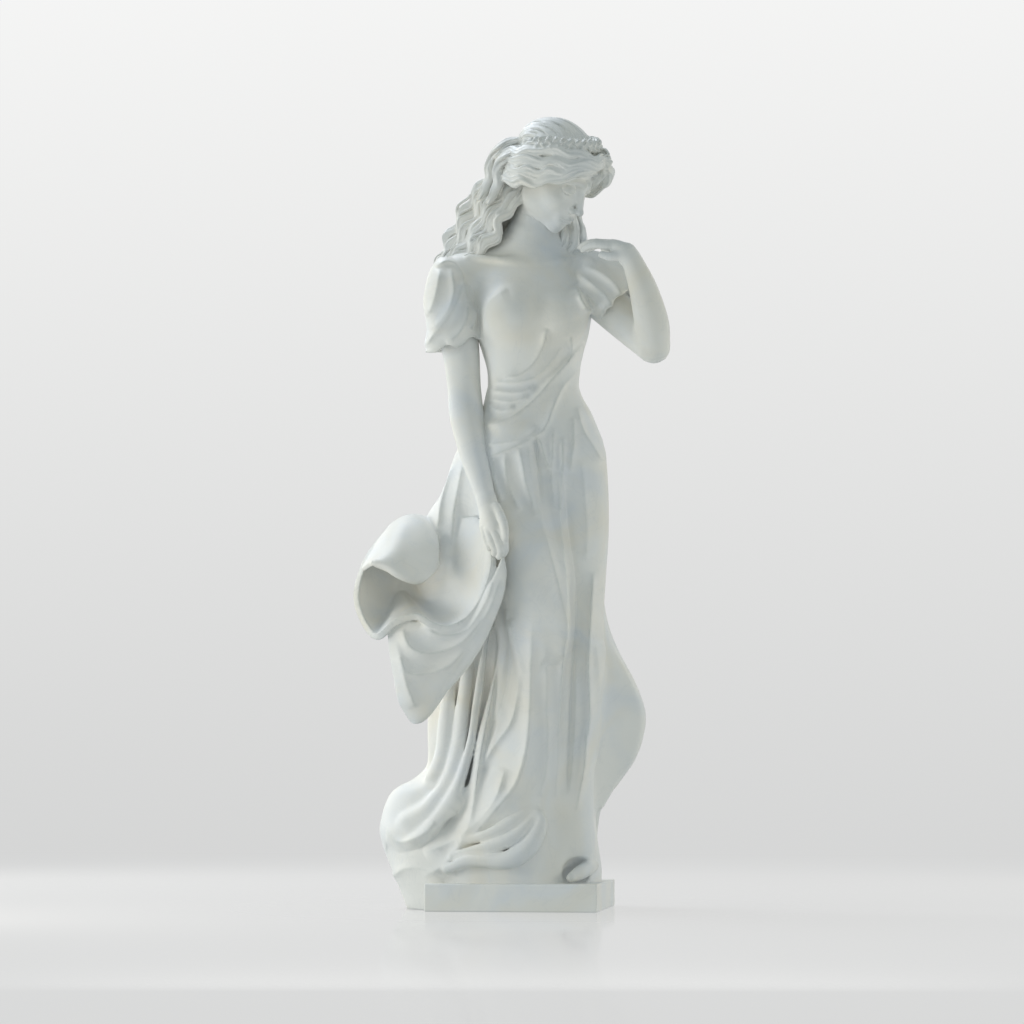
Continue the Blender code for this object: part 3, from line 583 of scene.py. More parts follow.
turnsAtNape = inMetres([    # locks that turn down from the rolls into the long hair
    [(20, -50, 1642, 10), (-10, -38, 1632, 15), (-30, -22, 1612, 16), (-40, -12, 1588, 16),
     (-42, -10, 1562, 15), (-52, -6, 1538, 13), (-66, 2, 1516, 9)],
    [(24, -72, 1624, 10), (-2, -60, 1615, 15), (-18, -46, 1598, 16), (-25, -36, 1577, 16),
     (-24, -36, 1553, 15), (-34, -32, 1530, 13), (-48, -26, 1508, 9)],
])
shoulderEdges = {           # the long hair over the right shoulder, by its outer and inner edges
    "outer": inMetres([
        (22, 0, 1634), (-10, 20, 1606), (-38, 34, 1570), (-64, 42, 1535), (-93, 46, 1497), (-116, 50, 1457),
        (-133, 50, 1420), (-145, 48, 1388), (-156, 44, 1362), (-170, 36, 1338)]),
    "inner": inMetres([
        (32, -44, 1545), (22, -44, 1515), (1, -44, 1500), (-18, -42, 1473), (-34, -36, 1443),
        (-56, -26, 1414), (-82, -14, 1391), (-107, -4, 1377), (-124, 4, 1365), (-135, 10, 1353)]),
    "locks": 7,
    "halfWidths": inMetres([8, 10, 12.5, 13.5, 13.5, 13, 11.5, 9.5, 7.5, 4]),
    "coreRadii": inMetres([26, 30, 30, 30, 28, 24, 19, 14, 10, 6]),
}
collarLocks = inMetres([    # small ones beside the far side of the neck
    [(112, 26, 1520, 13), (128, 14, 1482, 14), (137, 2, 1450, 14), (136, -8, 1425, 13),
     (128, -14, 1404, 11), (118, -18, 1384, 7)],
    [(96, 26, 1510, 13), (108, 12, 1474, 14), (116, -2, 1444, 14), (114, -14, 1420, 12),
     (106, -20, 1400, 9), (100, -24, 1382, 5)],
    [(126, 44, 1515, 13), (142, 36, 1475, 14), (152, 26, 1440, 14), (154, 14, 1408, 11), (158, 6, 1378, 6)],
])
backCore = inMetres([
    (30, 36, 1580, 34), (20, 52, 1500, 38), (10, 72, 1420, 34), (0, 84, 1340, 26), (-4, 90, 1270, 16)
])
fallOfHair = inMetres([     # how far behind the middle the back's locks hang, at each height
    (1180, 106), (1250, 112), (1320, 115), (1380, 113), (1440, 106), (1500, 94), (1560, 76), (1620, 48)])


def capShape(p):
    q = inHead(p)
    hairline = np.maximum(q[..., 2] * -1 - 0.045 - q[..., 1] * 0.9, -(q[..., 1] + 0.076))
    return np.maximum(egg(q, capCentre, capRadii), hairline)


def bedShape(p):
    q = inHead(p)
    return np.maximum(egg(q, bedCentre, bedRadii), -(q[..., 2] + 0.035 + q[..., 1]) * 0.7)


def lyingOn(centre, path, flat=1.0):
    # the ways across a path and out from the body under it, which is upright where flat is 0
    along = unit(np.gradient(path, axis=0))
    out = (path - centre) * (1, 1, flat)
    out = unit(out - (out * along).sum(1)[:, None] * along)
    return np.cross(along, out), out


def lock(keys, style, number, start=0.0):    # keys of x, y, z, half width; it lies flat on what is under it
    way = waving[style]
    uneven, twists = way.get("uneven", (0,)), way.get("twist", (0,))
    wave = way["wave"] + uneven[number % len(uneven)]
    start = start + way.get("start", 0) + way["lag"] * number
    k = through(keys, np.linspace(0, 1, hair["steps"]))
    path, half = k[:, :3], k[:, 3]
    run = runAlong(path)
    if "middle" in way:
        across, out = lyingOn(way["middle"], path, 0.0)
    else:
        across, out = lyingOn(headCentre + headTurn @ capCentre, path)
    turn = (twists[number % len(twists)] * run / run[-1])[:, None]
    across, out = across * np.cos(turn) + out * np.sin(turn), out * np.cos(turn) - across * np.sin(turn)
    settle = np.clip(run / hair["settling"], 0, 1) * (0.8 + 0.3 * np.sin(run * 31 + 2.3 * start))
    return {"path": path, "across": across, "outward": out, "halfWidth": half, "sway": way["sway"] * settle,
            "swing": 2 * pi * run / wave + start}


def plait(keys):            # locks that cross over and under along a path
    k = through(keys, np.linspace(0, 1, 3 * hair["steps"]))
    path, half = k[:, :3], k[:, 3]
    across, out = lyingOn(headCentre + headTurn @ capCentre, path)
    made = []
    for i in range(braid["parts"]):
        s = (2 * pi * runAlong(path) / braid["pitch"] + i * 2 * pi / braid["parts"])[:, None]
        woven = path + across * np.sin(s) * k[:, 3:] * 0.62 + out * np.sin(2 * s) * k[:, 3:] * 0.36
        made.append({"path": woven, "across": across, "outward": out, "halfWidth": half * 0.56,
                     "sway": 0 * half, "swing": 0 * half})
    return made


def backLocks():
    made = []
    behind = np.array(fallOfHair)
    s = np.linspace(0, 1, 9)
    for i in range(longHair["locks"]):
        f = i / (longHair["locks"] - 1)
        root = longHair["rootsFrom"] + longHair["rootsAcross"] * f
        end = longHair["endsFrom"] + longHair["endsAcross"] * f
        low = longHair["lowest"] + 0.035 * abs(f - 0.45) * 2 + longHair["ragged"] * (i % 2)
        heights = np.linspace(longHair["highest"] - 0.035 * abs(f - 0.4), low, len(s))
        x = root + (end - root) * np.clip(s * 1.25, 0, 1) ** 1.15
        y = np.interp(heights, behind[:, 0], behind[:, 1])
        y = y - 0.030 * (np.abs(f - 0.5) * 2) ** 2 * np.clip(2 * s, 0, 1) + 0.004 * (i % 2)
        width = np.interp(s, [0, 0.2, 0.6, 0.85, 1], [0.011, 0.0145, 0.0145, 0.011, 0.005])
        made.append(np.column_stack([x, y, heights, width]))
    return made


def shoulderLocks():
    outer, inner = (np.array(shoulderEdges[k]) for k in ("outer", "inner"))
    shares = np.linspace(0, 1, shoulderEdges["locks"])
    return [np.column_stack([outer + (inner - outer) * f, shoulderEdges["halfWidths"]]) for f in shares]


def onBed(keys, halfWidth, lift):   # rows of x, y, z, brought to the surface of the hair's bed
    d = np.array(keys) - bedCentre
    d = d / np.linalg.norm(d / (bedRadii + lift), axis=1, keepdims=True)
    return np.column_stack([bedCentre + d, np.full(len(d), halfWidth)])


def capLocks():             # combed back over the crown
    made = []
    for a in np.linspace(-74, 74, hair["crownLocks"]):
        t = np.linspace(-52, 118, 9)
        s = (t - t[0]) / (t[-1] - t[0])
        side = radians(a) * (1 - 0.62 * s**1.6)
        way = [np.sin(side), np.cos(side) * np.sin(np.radians(t)), np.cos(side) * np.cos(np.radians(t))]
        width = np.interp(s, [0, 0.3, 0.7, 1], [0.0125, 0.0145, 0.0115, 0.007])
        made.append(np.column_stack([capCentre + np.stack(way, 1) * (capRadii - 0.0035), width]))
    return made


pathValues = [              # what a path keeps at each of its points
    ("across", "FLOAT_VECTOR", "vector"), ("outward", "FLOAT_VECTOR", "vector"),
    ("halfWidth", "FLOAT", "value"), ("sway", "FLOAT", "value"), ("swing", "FLOAT", "value"),
]


def strandTree():           # strands laid side by side along every path, as closed round bars
    tree = bpy.data.node_groups.new("strandsAlongPaths", "GeometryNodeTree")
    tree.is_modifier = True
    sockets = tree.interface
    sockets.new_socket("Geometry", in_out="INPUT", socket_type="NodeSocketGeometry")
    for name, kind in (("Strands", "Int"), ("Spread", "Float"), ("Crown", "Float"),
                       ("Strand thickness", "Float"), ("Strand sides", "Int"), ("Unruly", "Float"),
                       ("Seed", "Int"), ("Finish", "Material")):
        sockets.new_socket(name, in_out="INPUT", socket_type=f"NodeSocket{kind}")
    sockets.new_socket("Geometry", in_out="OUTPUT", socket_type="NodeSocketGeometry")
    given = addNode(tree, "NodeGroupInput").outputs

    paths = addNode(tree, "GeometryNodeMeshToCurve", {"Mesh": given["Geometry"]})
    copies = addNode(tree, "GeometryNodeDuplicateElements",
                     {"Geometry": paths.outputs["Curve"], "Amount": given["Strands"]}, domain="SPLINE")
    place = addNode(tree, "ShaderNodeMapRange", {"Value": copies.outputs["Duplicate Index"], "To Min": -1.0})
    own = addNode(tree, "FunctionNodeRandomValue", {"Seed": given["Seed"]}, data_type="FLOAT")
    value = {"copy": copies.outputs["Duplicate Index"], "u": place.outputs["Result"], "own": own.outputs[1]}
    for name in ("Strands", "Spread", "Crown", "Unruly", "Strand thickness"):
        value[name] = given[name]
    for name, kind, *_ in pathValues + [("lockNumber", "FLOAT")]:
        node = addNode(tree, "GeometryNodeInputNamedAttribute", {"Name": name}, data_type=kind)
        value[name] = node.outputs["Attribute"]
    for name, operation, a, b in (      # u runs from -1 to 1 across the lock
            ("last", "SUBTRACT", "Strands", 1.0),
            ("row", "MULTIPLY", "lockNumber", 17.0),
            ("number", "ADD", "row", "copy"),
            ("centred", "SUBTRACT", "own", 0.5),
            ("stray", "MULTIPLY", "centred", "Unruly"),
            ("fan", "MULTIPLY", "u", 0.4),
            ("late", "ADD", "fan", "stray"),
            ("phase", "ADD", "late", "swing"),
            ("wave", "SINE", "phase", 0.0),
            ("swaying", "MULTIPLY", "wave", "sway"),
            ("slow", "MULTIPLY", "swing", 0.37),
            ("loose", "MULTIPLY", "stray", 9.0),
            ("crossing", "ADD", "slow", "loose"),
            ("cross", "SINE", "crossing", 0.0),
            ("weave", "MULTIPLY", "cross", 0.28),
            ("spaced", "MULTIPLY", "u", "Spread"),
            ("woven", "ADD", "spaced", "weave"),
            ("beside", "MULTIPLY", "woven", "halfWidth"),
            ("aside", "ADD", "beside", "swaying"),
            ("square", "MULTIPLY", "u", "u"),
            ("fall", "MULTIPLY", "square", 0.9),
            ("left", "SUBTRACT", 1.0, "fall"),
            ("arch", "SQRT", "left", 0.0),
            ("crowned", "MULTIPLY", "arch", "Crown"),
            ("lifted", "MULTIPLY", "stray", 0.25),
            ("stood", "ADD", "crowned", "lifted"),
            ("up", "MULTIPLY", "stood", "halfWidth"),
            ("thick", "MULTIPLY", "halfWidth", "Strand thickness")):
        node = addNode(tree, "ShaderNodeMath", {0: value.get(a, a), 1: value.get(b, b)}, operation=operation)
        value[name] = node.outputs[0]
    tree.links.new(value["last"], place.inputs["From Max"])
    tree.links.new(value["number"], own.inputs["ID"])
    shift = addNode(tree, "ShaderNodeVectorMath", operation="ADD")
    for i, (way, amount) in enumerate((("across", "aside"), ("outward", "up"))):
        moved = addNode(tree, "ShaderNodeVectorMath", {0: value[way], "Scale": value[amount]},
                        operation="SCALE")
        tree.links.new(moved.outputs[0], shift.inputs[i])
    laid = addNode(tree, "GeometryNodeSetPosition",
                   {"Geometry": copies.outputs["Geometry"], "Offset": shift.outputs[0]})
    ring = addNode(tree, "GeometryNodeCurvePrimitiveCircle",
                   {"Resolution": given["Strand sides"], "Radius": 1.0})
    bars = addNode(tree, "GeometryNodeCurveToMesh", {
        "Curve": laid.outputs[0], "Profile Curve": ring.outputs[0], "Scale": value["thick"],
        "Fill Caps": True})
    real = addNode(tree, "GeometryNodeRealizeInstances", {"Geometry": bars.outputs[0]})
    done = addNode(tree, "GeometryNodeSetMaterial",
                   {"Geometry": real.outputs[0], "Material": given["Finish"]})
    addNode(tree, "NodeGroupOutput", {0: done.outputs[0]})
    return tree


def strandBars(tree, locks, strands, unruly):       # one closed shape for each strand
    steps = len(locks[0]["path"])
    mesh = bpy.data.meshes.new("paths")
    edges = [(k * steps + i, k * steps + i + 1) for k in range(len(locks)) for i in range(steps - 1)]
    mesh.from_pydata(np.concatenate([l["path"] for l in locks]).tolist(), edges, [])
    for name, kind, field in pathValues:
        layer = mesh.attributes.new(name, kind, "POINT")
        layer.data.foreach_set(field, np.concatenate([l[name] for l in locks]).astype(np.float32).ravel())
    number = mesh.attributes.new("lockNumber", "FLOAT", "POINT")
    number.data.foreach_set("value", np.repeat(np.arange(len(locks)), steps).astype(np.float32))
    paths = placed("paths", mesh)
    grow = paths.modifiers.new("strands", "NODES")
    grow.node_group = tree
    given = {"Strands": strands, "Spread": hair["spread"], "Crown": hair["crown"], "Unruly": unruly,
             "Seed": hair["seed"], "Strand thickness": hair["strandThickness"],
             "Strand sides": hair["strandSides"]}
    for item in tree.interface.items_tree:
        if item.in_out == "INPUT" and item.name in given:
            grow[item.identifier] = given[item.name]
    settled(paths)
    mesh = paths.data
    p = np.empty(len(mesh.vertices) * 3, np.float32)
    mesh.vertices.foreach_get("co", p)
    mesh.calc_loop_triangles()
    t = np.empty(len(mesh.loop_triangles) * 3, np.int32)
    mesh.loop_triangles.foreach_get("vertices", t)
    p, t = p.reshape(-1, 3), t.reshape(-1, 3)
    each = steps * hair["strandSides"]
    shapes = [(p[k * each:(k + 1) * each], t[t[:, 0] // each == k] - k * each) for k in range(len(p) // each)]
    bpy.data.objects.remove(paths)
    bpy.data.meshes.remove(mesh)
    return shapes


def cores(locks, share):    # a solid middle for each lock, so that no gap shows between its strands
    middles = [l["path"] + l["across"] * (np.sin(l["swing"]) * l["sway"])[:, None] for l in locks]
    return [limb(np.column_stack([middle, l["halfWidth"] * share])[::3], 40, 14)
            for middle, l in zip(middles, locks)]


def looseLocks():           # all but the crown's and the braid's
    locks = []
    for side in (1, -1):
        for i, keys in enumerate(rolls):
            k = np.array(keys)
            if side < 0:    # the far side starts from the same parting
                begun = np.clip(1 - np.arange(len(k)) / 2, 0, 1)
                k[:, 0] = -k[:, 0] + hair["parting"] * begun + 0.005 * np.sin(np.linspace(0, pi, len(k)))
            locks.append(lock(onHead(k), "rolls", i, 1.2 * (side < 0)))
    for style, group in (("temple", [onHead(keys) for keys in templeLocks]), ("nape", turnsAtNape),
                         ("shoulder", shoulderLocks()), ("collar", collarLocks), ("back", backLocks())):
        locks += [lock(keys, style, i) for i, keys in enumerate(group)]
    return locks


def carveHair(clay):
    tree = strandTree()
    addField(clay, *boxes["hair"], capShape, 0.003)
    addField(clay, *boxes["hair"], bedShape, 0.006)
    addShape(clay, ball(onHead([(-0.008, 0.078, -0.036)])[0], (0.038, 0.034, 0.044)), 0.010)    # at the nape
    middle = np.mean([shoulderLocks()[0][:, :3], shoulderLocks()[-1][:, :3]], 0) + (0.010, 0.026, -0.010)
    addShape(clay, limb(np.column_stack([middle, shoulderEdges["coreRadii"]]), 50, 32), 0.004)
    addShape(clay, limb(backCore, 60, 40), 0.004)
    for x in (-0.060, 0.060):
        addShape(clay, limb([(x * 0.3 + 0.03, 0.038, 1.560, 0.026), (x * 0.7, 0.056, 1.460, 0.028),
                             (x, 0.076, 1.360, 0.022), (x * 1.1, 0.088, 1.280, 0.014)], 50, 32), 0.004)
    crown = [lock(onHead(keys), "crown", i) for i, keys in enumerate(capLocks())]
    locks = looseLocks()
    plaited = plait(onHead(onBed(crownBraid, braid["halfWidth"], braid["lift"])))
    for core in cores(locks, hair["core"]) + cores(plaited, braid["core"]):
        addShape(clay, core, 0.002)
    for group, strands, unruly in ((crown, hair["strands"], hair["crownUnruly"]),
                                   (locks, hair["strands"], hair["unruly"]),
                                   (plaited, braid["strands"], braid["unruly"])):
        for shape in strandBars(tree, group, strands, unruly):
            addShape(clay, shape, 0.0010, fine=True)
    report("hair laid")


# Flesh: neck, shoulders, arms and hands, by chains of x, y, z, radius

neck = inMetres([(48, 10, 1400, 56), (50, 6, 1440, 50), (56, -2, 1485, 46), (72, -10, 1540, 48)])
shoulders = inMetres([(-105, 12, 1350, 50), (45, 20, 1370, 52), (165, 20, 1345, 50)])
neckSides = inMetres([
    [(-80, 25, 1365, 34), (-10, 22, 1395, 36), (35, 12, 1440, 36)],
    [(160, 25, 1360, 34), (100, 22, 1395, 36), (62, 12, 1440, 36)],
])
collarBones = inMetres([
    [(40, -55, 1378, 5), (-20, -53, 1389, 5), (-85, -18, 1393, 5)],
    [(62, -55, 1378, 5), (115, -49, 1387, 5), (165, -14, 1389, 5)],
])
armRight = inMetres([
    (-112, 5, 1325, 48), (-113, 0, 1250, 45), (-104, -5, 1180, 39), (-98, -12, 1110, 36),
    (-92, -40, 1050, 37), (-76, -85, 970, 31), (-58, -128, 900, 22.5), (-48, -146, 866, 20.5)
])
armUpper = inMetres([
    (165, 0, 1335, 48), (215, -30, 1285, 44), (270, -65, 1235, 40), (300, -86, 1208, 37)
])
armFore = inMetres([
    (309, -92, 1199, 33), (303, -118, 1250, 37), (286, -140, 1320, 31), (264, -150, 1378, 23),
    (250, -150, 1402, 21.5)
])
raisedHand = {
    "palm": inMetres([
        (252, -150, 1392, 20), (240, -148, 1408, 17), (222, -142, 1416, 15), (206, -135, 1418, 12)]),
    "heel": inMetres([(240, -128, 1404, 17), (220, -118, 1412, 15), (204, -110, 1414, 12)]),
    "fingers": inMetres([
        [(208, -148, 1417, 9.5), (186, -148, 1420, 8.5), (168, -140, 1416, 7.5), (156, -132, 1408, 6.2)],
        [(208, -133, 1420, 9.8), (184, -130, 1424, 8.6), (164, -122, 1421, 7.6), (150, -114, 1414, 6.2)],
        [(208, -118, 1419, 9.5), (186, -114, 1423, 8.4), (168, -106, 1420, 7.4), (156, -99, 1413, 6)],
        [(208, -104, 1415, 8.5), (190, -100, 1418, 7.4), (177, -93, 1414, 6.6), (168, -88, 1408, 5.5)],
    ]),
    "thumb": inMetres([(236, -158, 1396, 12), (214, -160, 1394, 9.5), (196, -154, 1398, 7.5)]),
    "steps": (8, 8, 7, 6),                      # in the palm, its heel, each finger and the thumb
    "fillets": (0.012, 0.005, 0.008),
}
holdingHand = {
    "palm": inMetres([(-50, -143, 872, 20.5), (-42, -156, 845, 21), (-34, -166, 815, 21)]),
    "heel": inMetres([(-46, -140, 850, 18), (-48, -150, 815, 18)]),
    "fingers": inMetres([
        [(-24, -176, 812, 10), (-14, -184, 790, 9.2), (-10, -182, 768, 8.2), (-16, -170, 756, 7.2)],
        [(-36, -176, 808, 10), (-26, -186, 784, 9.4), (-20, -184, 764, 8.4), (-24, -170, 752, 7.2)],
        [(-47, -170, 808, 9.8), (-40, -182, 786, 9.2), (-32, -182, 768, 8.2), (-34, -168, 758, 7)],
        [(-56, -160, 812, 8.8), (-52, -172, 794, 8.2), (-45, -174, 778, 7.4), (-44, -162, 770, 6.4)],
    ]),
    "thumb": inMetres([
        (-30, -165, 858, 11), (-16, -184, 832, 9.2), (-10, -192, 808, 8), (-10, -190, 790, 6.8)]),
    "steps": (6, 4, 7, 6),
    "fillets": (0.012, 0.004, 0.006),
}


def fleshShape(p):
    d = melt(chain(p, neck), egg(p, (0.046, 0.012, 1.270), (0.118, 0.088, 0.160)), 0.03)
    d = melt(d, chain(p, shoulders, 5), 0.045)
    for side in neckSides:
        d = melt(d, chain(p, side, 5), 0.03)
    return d


def boneShape(p):
    return reduce(np.minimum, (chain(p, bone, 5) for bone in collarBones))


def neckOnly(p):
    return np.maximum(chain(p, neck), 1.484 - p[..., 2])


def handShape(p, hand):
    palmSteps, heelSteps, fingerSteps, thumbSteps = hand["steps"]
    heelFillet, fingerFillet, thumbFillet = hand["fillets"]
    d = melt(chain(p, hand["palm"], palmSteps), chain(p, hand["heel"], heelSteps), heelFillet)
    fingers = reduce(np.minimum, (chain(p, keys, fingerSteps) for keys in hand["fingers"]))
    return melt(melt(d, fingers, fingerFillet), chain(p, hand["thumb"], thumbSteps), thumbFillet)


# Dress

skirtLevels = inMetres([    # z, left, right, front, back
    (1100, -45, 145, -78, 82), (1060, -58, 172, -90, 95), (1010, -85, 192, -108, 120),
    (950, -108, 202, -116, 142), (880, -110, 206, -114, 155), (800, -95, 208, -108, 158),
    (720, -70, 199, -104, 155), (640, -46, 188, -100, 150), (560, -36, 186, -96, 150),
    (470, -42, 180, -94, 150), (380, -62, 176, -100, 155), (300, -88, 174, -102, 156),
    (220, -125, 178, -114, 161), (140, -165, 188, -130, 168), (80, -185, 196, -142, 172),
    (40, -185, 192, -144, 172)
])
backCloth = inMetres([
    (1020, -80, 150, -40, 118), (950, -106, 160, -40, 140), (880, -128, 170, -45, 152),
    (800, -146, 170, -40, 160), (700, -155, 170, -30, 165), (600, -160, 165, -20, 168),
    (500, -166, 160, -10, 160), (400, -172, 160, -10, 164), (300, -166, 168, -22, 170),
    (200, -180, 172, -60, 176), (40, -186, 176, -100, 174)
])
trainLevels = inMetres([
    (300, -165, -60, -16, 120), (276, -205, -40, -28, 124), (262, -236, -30, -40, 128),
    (245, -256, -20, -50, 132), (220, -268, -10, -60, 134), (195, -275, 0, -70, 136),
    (165, -279, 0, -82, 136), (130, -271, 0, -96, 134), (80, -252, 10, -112, 130),
    (20, -228, 20, -116, 126), (-30, -210, 20, -114, 122)
])
trunkLevels = inMetres([
    (1000, -80, 178, -95, 110), (1050, -62, 165, -84, 92), (1090, -50, 149, -78, 82),
    (1140, -48, 148, -80, 80), (1190, -54, 155, -88, 86), (1240, -66, 168, -96, 92),
    (1290, -70, 172, -94, 96), (1340, -60, 160, -80, 94), (1370, -44, 140, -68, 86),
    (1400, -18, 118, -55, 74), (1430, 0, 100, -46, 60), (1455, 6, 94, -40, 50)
])
thigh = inMetres([
    (20, -35, 980, 70), (10, -50, 900, 78), (24, -66, 800, 80), (46, -86, 700, 74), (62, -102, 620, 64),
    (68, -106, 570, 58), (60, -90, 500, 50), (48, -78, 400, 52), (32, -70, 300, 56), (10, -70, 200, 60)
])
leftLeg = inMetres([
    (115, -20, 960, 85), (128, -34, 860, 80), (136, -40, 740, 70), (140, -46, 640, 60), (142, -50, 560, 56),
    (140, -46, 460, 50), (135, -46, 340, 46), (130, -50, 220, 46), (130, -60, 120, 50)
])
hipCloth = inMetres([
    (-60, 20, 980, 46), (-78, 10, 930, 50), (-92, 0, 870, 56), (-120, 0, 800, 70), (-135, 0, 720, 74),
    (-135, -10, 640, 62), (-140, -10, 560, 45)
])
sweeps = inMetres([    # rounded folds between the front drape and the train
    [(-46, -30, 600, 6), (-56, -42, 520, 12), (-66, -50, 440, 15), (-80, -60, 350, 16),
     (-104, -72, 265, 19), (-145, -78, 195, 22), (-195, -70, 140, 24)],
    [(-82, 4, 580, 6), (-92, -14, 500, 13), (-100, -22, 430, 16), (-108, -35, 345, 18),
     (-130, -50, 270, 20), (-170, -55, 212, 24), (-212, -45, 180, 28)],
    [(-124, 14, 530, 8), (-130, 0, 470, 14), (-136, -5, 400, 18), (-142, -15, 330, 20), (-160, -25, 275, 22)],
])
sideFolds = inMetres([    # long soft ones down the left side and over the wing
    [(176, 48, 960, 4), (180, 52, 860, 8), (180, 56, 760, 9), (185, 58, 680, 9), (197, 60, 610, 9),
     (219, 60, 550, 9), (254, 58, 480, 10), (273, 56, 420, 11), (269, 58, 370, 11), (253, 62, 320, 10),
     (220, 68, 270, 8)],
    [(156, 88, 980, 4), (158, 100, 860, 9), (164, 100, 760, 11), (174, 104, 680, 12), (184, 108, 610, 13),
     (198, 112, 550, 14), (218, 114, 480, 15), (234, 114, 420, 15), (230, 114, 370, 14),
     (216, 114, 320, 12), (194, 112, 260, 10), (176, 106, 180, 10), (168, 98, 60, 9)],
])
hemRolls = inMetres([    # the hem in front, gathered into a curl that rises to the right; x, y, z, radius
    [(-135, -126, 84, 10), (-96, -142, 100, 12), (-57, -152, 102, 14), (-7, -158, 103, 20),
     (30, -155, 122, 22), (53, -147, 151, 19), (64, -134, 180, 16), (60, -124, 203, 11)],
    [(-122, -122, 112, 8), (-80, -138, 123, 11), (-40, -148, 132, 14), (4, -149, 150, 15),
     (34, -140, 175, 14), (54, -126, 200, 11)],
    [(-105, -118, 142, 7), (-70, -132, 150, 10), (-34, -140, 163, 13), (4, -138, 184, 14),
     (34, -128, 202, 11), (50, -120, 211, 9)],
])
toe = inMetres([(176, -60, 92, 14), (162, -94, 84, 16), (146, -122, 74, 15), (130, -140, 66, 10)])
billowSections = inMetres([    # z, then x, y around the wing of cloth
    (760, [(140, -20), (180, 0), (186, 20), (189, 40), (184, 75), (160, 110), (90, 80)]),
    (680, [(140, -35), (180, -16), (188, 14), (193, 40), (190, 80), (166, 120), (90, 80)]),
    (610, [(140, -45), (180, -26), (194, 8), (205, 38), (202, 84), (172, 130), (90, 80)]),
    (550, [(140, -48), (182, -30), (204, 4), (227, 34), (224, 86), (178, 140), (90, 80)]),
    (480, [(140, -45), (184, -30), (214, 0), (262, 26), (258, 88), (188, 150), (90, 80)]),
    (420, [(140, -40), (186, -26), (222, 0), (281, 24), (278, 88), (196, 160), (90, 80)]),
    (370, [(140, -34), (186, -18), (224, 6), (278, 28), (274, 88), (194, 164), (90, 80)]),
    (320, [(140, -24), (184, -4), (218, 18), (262, 38), (256, 88), (188, 160), (90, 80)]),
    (270, [(140, -10), (178, 10), (204, 30), (228, 48), (226, 88), (178, 152), (90, 80)]),
    (215, [(130, 0), (165, 20), (184, 40), (196, 56), (194, 88), (168, 140), (90, 80)]),
])
